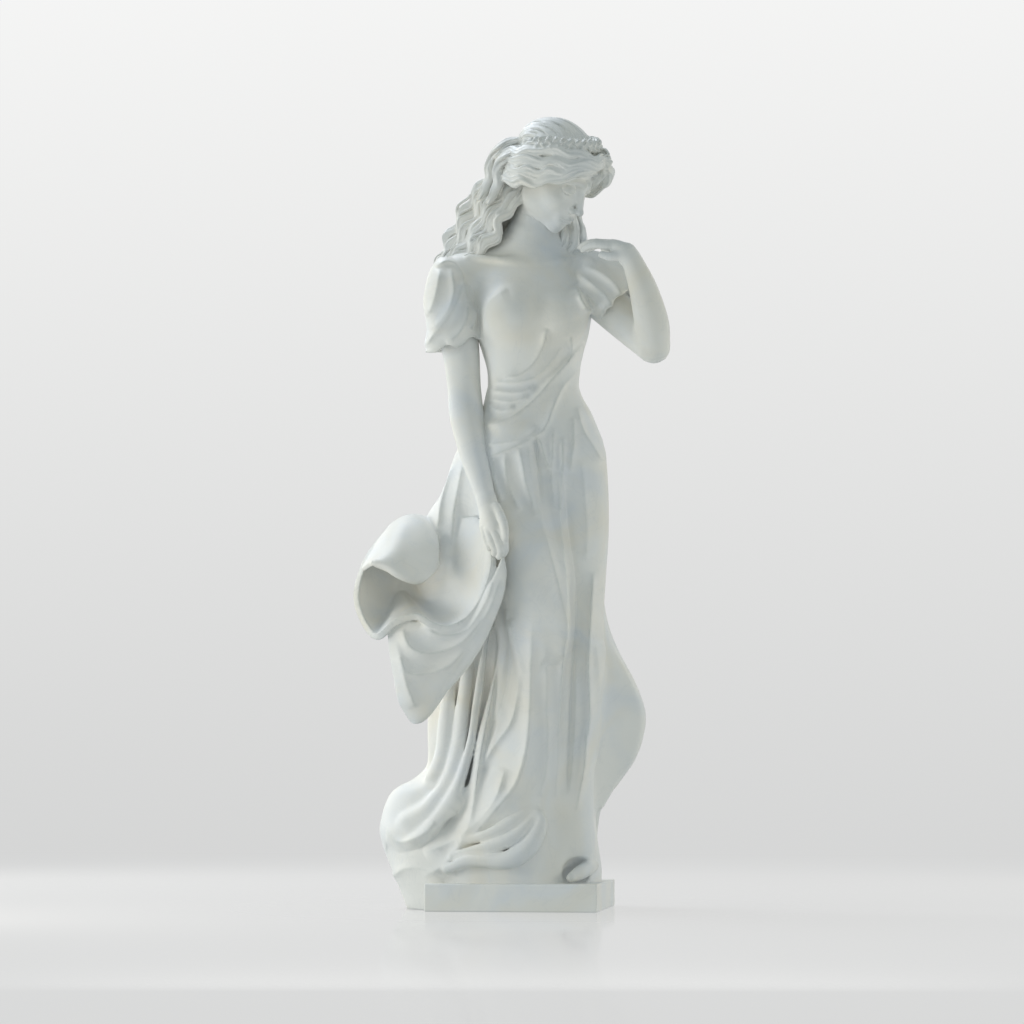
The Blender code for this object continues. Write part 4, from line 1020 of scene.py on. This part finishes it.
frontFolds = foldsInMetres([
    # long thigh edge: high on the thigh, falling away to the right
    ([(36, 1005), (43, 940), (58, 862), (90, 744), (115, 644), (122, 590), (115, 535)], 8, 10, 30),
    ([(100, 930), (106, 860), (110, 808), (122, 700), (122, 611), (113, 515), (105, 372),
      (96, 227)], 12, 6, 20),
    ([(112, 940), (119, 860), (125, 800), (139, 700), (141, 611), (134, 515), (127, 372),
      (120, 240)], -7, 12, 7),
    ([(178, 720), (175, 656), (168, 526), (171, 415), (163, 350), (157, 290), (140, 205)], 11, 7, 11),
    ([(52, 660, 0), (46, 580, 0.3), (43, 500, 0.6), (41, 420), (34, 340), (14, 270),
      (-16, 230), (-64, 175), (-105, 132)], 10, 12, 12),
    ([(22, 520, 0.2), (14, 453, 0.7), (0, 396), (-36, 346), (-60, 303)], 7, 8, 10),
    ([(-28, 560), (-38, 464), (-60, 349), (-75, 250), (-92, 169), (-137, 98), (-186, 66)], 10, 9, 12),
    ([(74, 600, 0), (78, 500, 0.6), (78, 430), (80, 360), (76, 290), (60, 235)], 5, 10, 14),
    ([(139, 560), (140, 480), (138, 400), (134, 320), (126, 240)], 4, 12, 10),
    ([(0, 620), (10, 560), (30, 500)], 4, 10, 8),
    ([(-10, 640), (-4, 560), (-10, 480), (-30, 400)], 5, 8, 12),
    ([(-10, 300), (-35, 230), (-80, 175), (-130, 140), (-185, 118)], 10, 10, 12),
    ([(30, 170), (-10, 130), (-60, 98), (-120, 80)], 7, 10, 10),
    # hollow beside the drape's left edge
    ([(-34, 600), (-48, 490), (-66, 400), (-86, 300), (-106, 235)], -10, 9, 9),
    # lobes of the train
    ([(-276, 160, 0), (-235.2, 119.4, 0.8), (-185.3, 133.6), (-149.7, 167.9),
      (-117.6, 207.1)], -6, 10, 14),
    ([(-272, 175), (-240, 142), (-190, 156), (-158, 186)], 4, 10, 8),
    ([(-262, 60), (-225, 85), (-185, 82), (-140, 60)], 4, 10, 10),
    # from the hip into the thrown cloth
    ([(-124, 965), (-138, 910), (-150, 860), (-156, 800)], 4, 6, 7),
    ([(-100, 960), (-112, 900), (-122, 840), (-126, 770)], 4, 6, 8),
    # billow
    ([(198, 574), (226, 489), (240, 417), (226, 325)], 5, 10, 16),
    ([(178, 600), (190, 500), (194, 400), (184, 300)], 4, 8, 12),
    # below the knee
    ([(70, 528), (95, 518), (118, 535)], -3, 8, 14),
    # waist pleats
    ([(19, 985), (26, 950), (36, 900), (58, 836)], 5, 6, 6),
    ([(54, 1010), (57, 970), (60, 930), (67, 850)], -6, 5, 5),
    ([(60, 1010), (72, 970), (83, 939)], 5, 5, 5),
    ([(92, 1030), (90, 980), (88, 920), (96, 850)], 4, 6, 6),
    ([(112, 1010), (112, 930), (107, 849)], 5, 5, 6),
    ([(135, 1052), (135, 992), (127, 930)], 4, 6, 6),
    ([(143, 1073), (158, 1022), (180, 986), (199, 954)], 5, 6, 8),
    ([(-11, 975), (-9, 930), (2, 889), (21, 849)], 4, 6, 6),
    ([(-36, 966), (-34, 919), (-18, 868)], 4, 6, 6),
    ([(-60, 960), (-62, 900), (-50, 830), (-35, 760)], 4, 8, 8),
    ([(150, 960), (160, 880), (165, 800), (160, 740)], 3, 10, 10),
    # sash: rolled upper edge, second strand, lower edge
    ([(160, 1212), (119.7, 1163), (83.4, 1124.6), (62, 1099), (36.3, 1075.4), (6.4, 1054),
      (-28, 1039), (-60, 1032.7)], 8, 18, 4),
    ([(150, 1155), (110, 1110), (77, 1032.7), (57.7, 1013.4), (17.1, 992), (-23.5, 975),
      (-60, 962)], 6, 4, 14),
    ([(60, 1026), (30, 1006), (-13.9, 997), (-60, 991)], 4, 5, 6),
    # bodice
    ([(79, 1240), (70.6, 1203.7), (51.3, 1167.4), (19.2, 1141.7), (-15, 1135.3)], 5, 5, 8),
    ([(113.3, 1203.7), (74.8, 1154.5), (30, 1128.9), (-38.5, 1126.7)], 4, 5, 7),
    ([(52, 1116), (10, 1104), (-45, 1110)], 2.8, 5, 7),
    ([(40, 1097), (0, 1085), (-45, 1092)], 2.2, 4, 6),
    ([(10, 1074), (-20, 1066), (-50, 1075)], 2.5, 5, 6),
    ([(130, 1225), (132, 1190), (120, 1160)], 3, 6, 6),
    ([(-5.5, 1323.5), (-30, 1313), (-48, 1292), (-55.6, 1255), (-58, 1200)], 3.4, 16, 3),
    ([(139, 1333), (154, 1304), (168, 1276)], 4, 3, 16),
])
backEdges = foldsInMetres([    # the dress's upper edge and the sash, carried round behind
    ([(-120, 1318), (-60, 1290), (10, 1272), (80, 1272), (130, 1290), (175, 1325)], 4.5, 3, 20),
    ([(-110, 1040), (-50, 1046), (10, 1062), (70, 1088), (120, 1128), (150, 1170)], 6, 4, 14),
    ([(-110, 992), (-50, 996), (10, 1010), (70, 1038), (120, 1078), (150, 1110)], 6, 12, 4),
    ([(-100, 1016), (-30, 1024), (40, 1046), (110, 1094)], 3, 6, 6),
    ([(-60, 1230), (-40, 1170), (-30, 1100)], 3, 8, 10),
    ([(80, 1240), (70, 1180), (50, 1110)], 3, 10, 8),
])
pleats = {                  # the long folds behind
    "count": 10,
    "heights": (0.008, 0.005, 0.0065),
    "sway": 0.010,
}


def backFolds():
    folds = []
    for i, x in enumerate(np.linspace(-0.13, 0.17, pleats["count"])):
        sway = -0.05 * (x < 0.05) - 0.02        # the train draws them to one side
        top = 1.01 - 0.05 * (i * 2 % 3)
        bend = pleats["sway"] * sin(2.3 * i)
        line = [(x * 0.72 + 0.012, top), (x * 0.90 + bend, 0.84), (x + 0.004 * (-1) ** i, 0.66),
                (x * 1.02 - bend + sway * 0.2, 0.46), (x * 1.05 + sway * 0.6, 0.26), (x * 1.10 + sway, 0.07)]
        folds.append((line, pleats["heights"][i % 3], 0.009 + 0.003 * (i % 2), 0.014 - 0.003 * (i % 2)))
    return folds


# Thrown cloth, sleeves

bowlRim = inMetres([
    (-34, -168, 755), (-50, -166, 680), (-85, -168, 622), (-132, -172, 598), (-168, -176, 606),
    (-200, -172, 623), (-245, -166, 610), (-284, -150, 580), (-314, -125, 612), (-330, -100, 668),
    (-314, -66, 735), (-278, -36, 792), (-236, -16, 832), (-200, -10, 838), (-160, -20, 815),
    (-110, -50, 830), (-60, -110, 830)
])
petal = inMetres([
    [(-316, -86, 722), (-292, -52, 760), (-257, -22, 816), (-221, -8, 838), (-190, -6, 838),
     (-163, -16, 824)],
    [(-308, -112, 728), (-278, -98, 762), (-244, -78, 800), (-212, -62, 815), (-182, -56, 815),
     (-157, -56, 800)],
    [(-300, -130, 736), (-270, -134, 748), (-238, -128, 760), (-206, -114, 765), (-176, -100, 772),
     (-152, -88, 772)],
    [(-296, -138, 741), (-264, -146, 733), (-236, -146, 718), (-202, -134, 708), (-175, -118, 722),
     (-154, -100, 748)],
    [(-290, -128, 736), (-262, -132, 724), (-235, -131, 708), (-200, -119, 698), (-174, -104, 713),
     (-152, -88, 741)],
])
tail = inMetres([
    [(-262, -140, 600), (-205, -158, 615), (-140, -160, 600), (-80, -160, 632), (-40, -170, 700),
     (-14, -175, 760)],
    [(-258, -135, 560), (-210, -145, 555), (-150, -140, 550), (-100, -146, 575), (-56, -160, 645),
     (-8, -172, 705)],
    [(-247, -125, 500), (-215, -138, 500), (-170, -135, 500), (-125, -138, 530), (-80, -145, 590),
     (-34, -160, 625)],
    [(-236, -115, 440), (-215, -128, 445), (-185, -130, 450), (-150, -130, 475), (-110, -132, 525),
     (-62, -145, 558)],
    [(-206, -105, 398), (-202, -112, 396), (-194, -118, 396), (-180, -120, 405), (-150, -118, 445),
     (-105, -128, 512)],
])
tailFolds = foldsInMetres([    # swags that hang from the hand to the far corner
    ([(-232, 600), (-214, 560), (-171, 545.5), (-107, 567), (-50, 631), (-21, 702)], 8, 7, 12),
    ([(-244, 570), (-224, 510), (-190, 500), (-130, 520), (-70, 580)], 5, 7, 12),
    ([(-190, 608), (-150, 585), (-95, 594), (-55, 650), (-36, 700)], 6, 5, 10),
    ([(-236, 540), (-222, 480), (-202, 430)], 5, 6, 10),
])
sleeveLevels = inMetres([    # z, left, right, front, back; the puffed sleeve on the hanging arm
    (1392, -152, -118, -6, 30), (1375, -166, -104, -30, 46), (1345, -178, -86, -48, 58),
    (1300, -185, -72, -56, 64), (1260, -180, -62, -58, 64), (1225, -176, -58, -60, 62),
    (1200, -180, -62, -62, 60), (1188, -182, -66, -62, 60)
])
sleeveFolds = foldsInMetres([
    ([(-160, 1372), (-139, 1385), (-118, 1381), (-104, 1362), (-96, 1328), (-92, 1290)], 5, 4, 6),
    ([(-100, 1340), (-112, 1300), (-135, 1262), (-165, 1225), (-182, 1200)], 7, 7, 10),
    ([(-128, 1372), (-120, 1330), (-128, 1290), (-150, 1255), (-172, 1235)], 6, 8, 8),
    ([(-150, 1368), (-156, 1330), (-166, 1290), (-178, 1265)], 5, 8, 8),
    ([(-88, 1300), (-92, 1262), (-110, 1230), (-135, 1208)], 6, 8, 8),
    ([(-70, 1285), (-74, 1255), (-86, 1235)], 5, 6, 6),
])
sleeveLeft = inMetres([
    (140, 4, 1372, 42), (172, -12, 1354, 56), (203, -34, 1330, 63), (225, -50, 1304, 60),
    (236, -58, 1290, 54)
])
leftSleeveFolds = foldsInMetres([
    ([(140, 1360), (170, 1340), (205, 1308), (226, 1276)], 5.2, 6, 11),
    ([(143, 1338), (163, 1313), (188, 1287), (208, 1264)], 4, 6, 10),
    ([(155, 1376), (190, 1362), (222, 1338), (243, 1308)], 4.5, 7, 10),
    ([(146, 1316), (158, 1292), (176, 1272)], 4, 5, 9),
])
openings = inMetres([       # the hollows inside the two sleeves
    [(-118, -6, 1160, 54), (-120, -4, 1225, 52), (-122, 0, 1265, 42)],
    [(252, -70, 1272, 48), (232, -56, 1292, 46), (218, -45, 1305, 38)],
])


def sleeveHem(p):
    slope = 1.190 + 0.35 * np.clip(p[..., 0] + 0.155, -0.03, 0.10)
    return slope + 0.006 * np.sin(p[..., 0] * 110 + 40 * p[..., 1]) - p[..., 2]


def underGround(p):         # measured from where standOnPlinth will put the ground
    eye = standing["eyeHeight"]
    return eye + (p[..., 2] - eye) * (1 + p[..., 1] / standing["viewer"]) - 0.0006


def carveSleeves(clay):
    box = boxes["rightSleeve"]
    sleeve = newClay(*box, clay["step"])
    addShape(sleeve, loft(sleeveLevels, 90, 90, 1.0), 0.004)
    addField(sleeve, *box, sleeveHem, 0.004, "keep")
    pressFolds(sleeve, sleeveFolds, True, *box, 0.02)
    addShape(sleeve, limb(openings[0], 30, 48), 0.003, "cut")
    off = np.round((sleeve["low"] - clay["low"]) / clay["step"]).astype(int)
    place = tuple(slice(int(o), int(o) + n) for o, n in zip(off, sleeve["field"].shape))
    blend(clay, place, sleeve["field"], 0.005, "join")
    addShape(clay, limb(sleeveLeft, 90, 90, 8, 0.06, False), 0.006)
    addShape(clay, limb(openings[1], 30, 48), 0.003, "cut")


def carveDress():
    clay = newClay(*boxes["dress"], carving["dressStep"])
    for shape, fillet in (
            (loft(skirtLevels), 0.010), (loft(backCloth), 0.010), (loft(trainLevels, 100, 120), 0.012),
            (limb(thigh, 120, 64), 0.030), (limb(leftLeg, 120, 64), 0.025),
            (loft(trunkLevels, 100, 120), 0.020), (limb(hipCloth, 80, 64), 0.030),
            (sections(billowSections), 0.015)):
        addShape(clay, shape, fillet)
    for keys in sideFolds:
        addShape(clay, limb(keys, 60, 24), 0.012)
    for keys in sweeps:
        addShape(clay, limb(keys, 80, 32), 0.012)
    for x, z in ((0.010, 1.272), (0.112, 1.268)):
        addShape(clay, ball((x, -0.070, z), (0.054, 0.050, 0.054)), 0.030)
    report("masses")
    addField(clay, *boxes["flesh"], fleshShape, 0.02)
    pressFolds(clay, frontFolds, True, *boxes["front"], 0.0)
    pressFolds(clay, backFolds(), False, *boxes["back"], 0.03)
    pressFolds(clay, backEdges, False, *boxes["backEdges"], 0.02)
    addField(clay, *boxes["collarBones"], boneShape, 0.014)
    report("flesh and folds")
    carveSleeves(clay)
    pressFolds(clay, leftSleeveFolds, True, *boxes["leftSleeve"], 0.01)
    addShape(clay, cloth(tail, 0.016), 0.006)
    pressFolds(clay, tailFolds, True, *boxes["tail"], -0.10)
    addShape(clay, bowl(bowlRim, (-0.235, -0.012, 0.682), 0.015, 1.6), 0.005)
    addShape(clay, cloth(petal, 0.014), 0.004)
    for roll in hemRolls:
        addShape(clay, limb(roll, 50, 24), 0.008)
    addShape(clay, ball((0.152, -0.132, 0.078), (0.042, 0.064, 0.036)), 0.005, "cut")   # the toe's hollow
    addShape(clay, limb(toe, 30, 24), 0.003)
    addField(clay, *boxes["ground"], underGround, 0.0001, "cut")
    report("cloth")
    return cast(clay, "dressAndFlesh", carving["dressFaces"])


def carveLoweredArm():
    clay = newClay(*boxes["loweredArm"], carving["armStep"])
    addShape(clay, limb(armRight, 160, 48), 0.006)
    addField(clay, *boxes["holdingHand"], lambda p: handShape(p, holdingHand), 0.006)
    return cast(clay, "loweredArm", carving["armFaces"])


def carveRaisedArm():
    clay = newClay(*boxes["raisedArm"], carving["armStep"])
    addShape(clay, limb(armUpper, 90, 48), 0.006)
    addShape(clay, limb(armFore, 90, 48), 0.012)
    addField(clay, *boxes["raisedHand"], lambda p: handShape(p, raisedHand), 0.006)
    return cast(clay, "raisedArm", carving["armFaces"])


def carveHeadAndHair():
    clay = newClay(*boxes["headAndHair"], carving["headStep"])
    addField(clay, *boxes["head"], headShape, 0.012)
    addField(clay, *boxes["neck"], neckOnly, 0.012)
    report("head")
    carveHair(clay)
    return cast(clay, "headAndHair", carving["headFaces"])


plinth = {
    "width": 0.362,
    "depth": 0.360,
    "height": 0.058,
    "edge": 0.003,
}


def cutPlinth():
    mesh = bpy.data.meshes.new("plinth")
    shape = bmesh.new()
    bmesh.ops.create_cube(shape, size=1.0)
    for v in shape.verts:
        v.co = Vector((v.co.x * plinth["width"], v.co.y * plinth["depth"], (v.co.z + 0.5) * plinth["height"]))
    bmesh.ops.bevel(shape, geom=shape.edges[:], offset=plinth["edge"], segments=3, profile=0.5,
                    affect="EDGES")
    bmesh.ops.recalc_face_normals(shape, faces=shape.faces)
    shape.to_mesh(mesh)
    shape.free()
    return placed("plinth", mesh)


# Finish

marble = {                  # white statuary marble
    "ground": "F1F0EB",
    "warm": "EEE9DC",       # faint iron stain
    "cool": "E4E7E9",       # faint grey clouding
    "vein": "C9CDCF",
    "paintedCreaseShade": "98A09A",      # painted shade, laid darker in the creases where the folds would be in shade
    "cloudSize": 0.16,      # metres, as all the sizes are
    "stainSize": 0.16 / 0.7,
    "veinSize": 0.30,
    "wearSize": 1 / 55,     # the unevenness that the rasp left
    "wearDepth": 0.0016,
    "grainSize": 0.0012,    # crystals that glint where the surface is honed
    "grainDrawn": 3,        # they are drawn this much coarser, or the render would lose them
    "grainDepth": 0.0004,
    "veinAmount": 0.12,
    # how dark the painted crease shade is at its deepest
    "paintedCreaseShadeAmount": 0.34,
    "roughness": 0.42,
    "ior": 1.49,            # calcite, on average
}


def linear(hexColour):
    values = [int(hexColour[i:i + 2], 16) / 255 for i in (0, 2, 4)]
    return tuple(v / 12.92 if v <= 0.04045 else ((v + 0.055) / 1.055) ** 2.4 for v in values) + (1.0,)


def emptyMaterial(name):
    material = bpy.data.materials.new(name)
    material.use_nodes = True
    material.node_tree.nodes.clear()
    return material, material.node_tree


def honedMarble():
    # Honed and not polished: a wide soft gloss, no mirror, and white that is never quite even.
    material, tree = emptyMaterial("honedWhiteMarble")
    place = addNode(tree, "ShaderNodeTexCoord").outputs["Object"]
    noise = {}
    for name, size, detail, roughness, distortion in (
            ("cloud", marble["cloudSize"], 6.0, 0.55, 0.6), ("stain", marble["stainSize"], 3.0, 0.5, 1.2),
            ("vein", marble["veinSize"], 8.0, 0.6, 2.2), ("wear", marble["wearSize"], 4.0, 0.6, 0.0),
            ("grain", marble["grainSize"] * marble["grainDrawn"], 2.0, 0.5, 0.0)):
        node = addNode(tree, "ShaderNodeTexNoise", {
            "Vector": place, "Scale": 1 / size, "Detail": detail, "Roughness": roughness,
            "Distortion": distortion})
        noise[name] = node.outputs["Fac"]
    away = addNode(tree, "ShaderNodeMath", {0: noise["vein"], 1: 0.5}, operation="SUBTRACT")
    thin = addNode(tree, "ShaderNodeMath", {0: away.outputs[0]}, operation="ABSOLUTE")
    edges = addNode(tree, "ShaderNodeNewGeometry").outputs["Pointiness"]        # low in the creases, so it places the painted crease shade
    colour = linear(marble["ground"])
    for tint, pattern, low, high, first, last in (      # each tint, and how much of it from low to high
            ("cool", noise["cloud"], 0.42, 0.68, 0.0, 1.0),
            ("warm", noise["stain"], 0.46, 0.74, 0.0, 1.0),
            ("vein", thin.outputs[0], 0.0, 0.012, marble["veinAmount"], 0.0),
            # painted shade in the creases, set by pointiness
            ("paintedCreaseShade", edges, 0.44, 0.497, marble["paintedCreaseShadeAmount"], 0.0)):
        share = addNode(tree, "ShaderNodeMapRange", {"Value": pattern, "From Min": low, "From Max": high,
                                                     "To Min": first, "To Max": last})
        tinted = addNode(tree, "ShaderNodeMix", {"Factor": share.outputs["Result"], 6: colour,
                                                 7: linear(marble[tint])}, data_type="RGBA")
        colour = tinted.outputs[2]
    dull = addNode(tree, "ShaderNodeMapRange", {
        "Value": noise["grain"], "To Min": marble["roughness"] - 0.06, "To Max": marble["roughness"] + 0.10})
    uneven = addNode(tree, "ShaderNodeBump", {
        "Height": noise["wear"], "Strength": 0.18, "Distance": marble["wearDepth"]})
    fine = addNode(tree, "ShaderNodeBump", {
        "Height": noise["grain"], "Strength": 0.10, "Distance": marble["grainDepth"],
        "Normal": uneven.outputs["Normal"]})
    surface = addNode(tree, "ShaderNodeBsdfPrincipled", {
        "Base Color": colour, "Roughness": dull.outputs["Result"], "IOR": marble["ior"],
        "Normal": fine.outputs["Normal"]})
    addNode(tree, "ShaderNodeOutputMaterial", {"Surface": surface.outputs[0]})
    return material


# Camera, stage and light

view = {
    "distance": 5.8,
    "height": 0.25,
    "side": 8.0,            # degrees round to the right of the plinth's front
    "halfWidth": 1.0947,    # metres of the picture at the statue
    "aim": 0.004,           # across, from the middle of the figure
    "middle": 0.8477,       # height at the middle of the picture
}


def setCamera():
    a = radians(view["side"])
    camera = bpy.data.cameras.new("camera")
    camera.sensor_width = 36
    camera.lens = camera.sensor_width / 2 * view["distance"] / view["halfWidth"]
    camera.shift_y = (view["middle"] - view["height"]) / (2 * view["halfWidth"])
    at = placed("camera", camera)
    across, away = view["aim"] - standing["aside"], view["distance"]
    at.location = (across * cos(a) + sin(a) * away, across * sin(a) - cos(a) * away, view["height"])
    at.rotation_euler = (pi / 2, 0, a)
    bpy.context.scene.camera = at


stage = {
    "floor": "7C7C7C",
    "glow": "FFFEFD",       # the board glows, more towards the top
    "glowLow": 0.59,
    "glowHigh": 0.85,
    "glowHeight": 5.0,
    "shineNear": 0.40,      # share of gloss within shineFrom of the statue, and beyond shineTo
    "shineFar": 0.04,
    "shineFrom": 0.5,
    "shineTo": 2.4,
    "near": -9.0,           # metres from the statue to the floor's near edge
    "far": 5.0,             # and to where it turns up
    "bend": 4.0,
    "top": 11.0,
    "halfWidth": 14,
}


def paleStagePaint():
    # Matt board, polished only round the statue's foot, where it gives back a soft reflection.
    material, tree = emptyMaterial("paleStagePaint")
    place = addNode(tree, "ShaderNodeTexCoord").outputs["Object"]
    axes = addNode(tree, "ShaderNodeSeparateXYZ", {0: place})
    glow = addNode(tree, "ShaderNodeMapRange", {"Value": axes.outputs["Z"], "From Max": stage["glowHeight"],
                                                "To Min": stage["glowLow"], "To Max": stage["glowHigh"]})
    mottle = addNode(tree, "ShaderNodeTexNoise", {"Vector": place, "Scale": 3.0, "Detail": 2.0})
    rough = addNode(tree, "ShaderNodeMapRange", {
        "Value": mottle.outputs["Fac"], "To Min": 0.07, "To Max": 0.08})
    matt = addNode(tree, "ShaderNodeBsdfPrincipled", {
        "Base Color": linear(stage["floor"]), "Roughness": 1.0, "Specular IOR Level": 0.0,
        "Emission Color": linear(stage["glow"]), "Emission Strength": glow.outputs["Result"]})
    gloss = addNode(tree, "ShaderNodeBsdfAnisotropic", {
        "Color": linear("FFFFFF"), "Roughness": rough.outputs["Result"]})
    distance = addNode(tree, "ShaderNodeVectorMath", {0: place}, operation="LENGTH")
    share = addNode(tree, "ShaderNodeMapRange", {
        "Value": distance.outputs["Value"], "From Min": stage["shineFrom"], "From Max": stage["shineTo"],
        "To Min": stage["shineNear"], "To Max": stage["shineFar"]})
    surface = addNode(tree, "ShaderNodeMixShader", {
        0: share.outputs["Result"], 1: matt.outputs[0], 2: gloss.outputs[0]})
    wall = addNode(tree, "ShaderNodeMath", {0: axes.outputs["Z"], 1: 0.001}, operation="GREATER_THAN")
    whole = addNode(tree, "ShaderNodeMixShader", {
        0: wall.outputs[0], 1: surface.outputs[0], 2: matt.outputs[0]})
    addNode(tree, "ShaderNodeOutputMaterial", {"Surface": whole.outputs[0]})
    return material


def makeStage():
    near, far, bend, top, wide = (stage[k] for k in ("near", "far", "bend", "top", "halfWidth"))
    curve = [(far + bend * sin(t), bend - bend * cos(t)) for t in np.linspace(0.08, pi / 2, 18)]
    side = [(near, 0), (far, 0)] + curve + [(far + bend, top)]
    points = [(x, y, z) for y, z in side for x in (-wide, wide)]
    faces = [(2 * i, 2 * i + 1, 2 * i + 3, 2 * i + 2) for i in range(len(side) - 1)]
    mesh = bpy.data.meshes.new("backdrop")
    mesh.from_pydata(points, [], faces)
    mesh.polygons.foreach_set("use_smooth", [True] * len(faces))
    mesh.materials.append(paleStagePaint())
    floor = placed("backdrop", mesh)
    floor.visible_diffuse = False       # its glow is only seen: the lamps and the room light the marble


room = {"colour": "DBE7EA", "strength": 0.51}
lamps = [                   # name, place, what it aims at, width and height, watts, colour
    ("above", (-1.2, 0.9, 3.6), (0, 0, 0.9), (1.6, 1.6), 44, "EEF4FF"),
    ("leftBehind", (-2.6, 1.5, 1.9), (0, 0, 0.8), (1.2, 2.0), 29, "FFFDF4"),
    ("left", (-3.2, -0.9, 1.0), (0, 0, 0.6), (1.0, 1.6), 25, "FAFCFA"),
    ("lowLeft", (-1.4, -0.8, 0.45), (-0.25, 0, 0.5), (0.6, 0.4), 5.5, "FFFAF2"),
    ("lowFront", (0.3, -2.4, 0.3), (0, 0, 0.35), (1.2, 0.3), 2.5, "FFFFFA"),
    ("right", (2.6, -1.0, 0.45), (0.2, 0, 0.4), (0.8, 0.6), 9, "FFFAF0"),
    ("rightBehind", (2.6, 1.6, 1.2), (0, 0, 0.7), (1.0, 1.6), 12, "FFF6E0"),
]


def lightStudio():
    world = bpy.data.worlds.new("studio")
    world.use_nodes = True
    bpy.context.scene.world = world
    sky = world.node_tree.nodes["Background"].inputs
    sky["Color"].default_value = linear(room["colour"])
    sky["Strength"].default_value = room["strength"]
    for name, place, aim, size, power, colour in lamps:
        light = bpy.data.lights.new(name, "AREA")
        light.shape = "RECTANGLE"
        light.size, light.size_y = size
        light.energy = power
        light.color = linear(colour)[:3]
        lamp = placed(name, light)
        lamp.visible_glossy = name == "above"   # the floor mirrors no other lamp
        lamp.location = place
        lamp.rotation_euler = (Vector(aim) - Vector(place)).to_track_quat("-Z", "Y").to_euler()


bpy.context.scene.view_settings.view_transform = "Standard"
setCamera()
stone = honedMarble()
for piece in (carveDress(), carveLoweredArm(), carveRaisedArm(), carveHeadAndHair(), cutPlinth()):
    piece.data.materials.clear()
    piece.data.materials.append(stone)
    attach(piece, "root")
    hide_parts("statue")
makeStage()
lightStudio()
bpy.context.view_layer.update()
report("done")
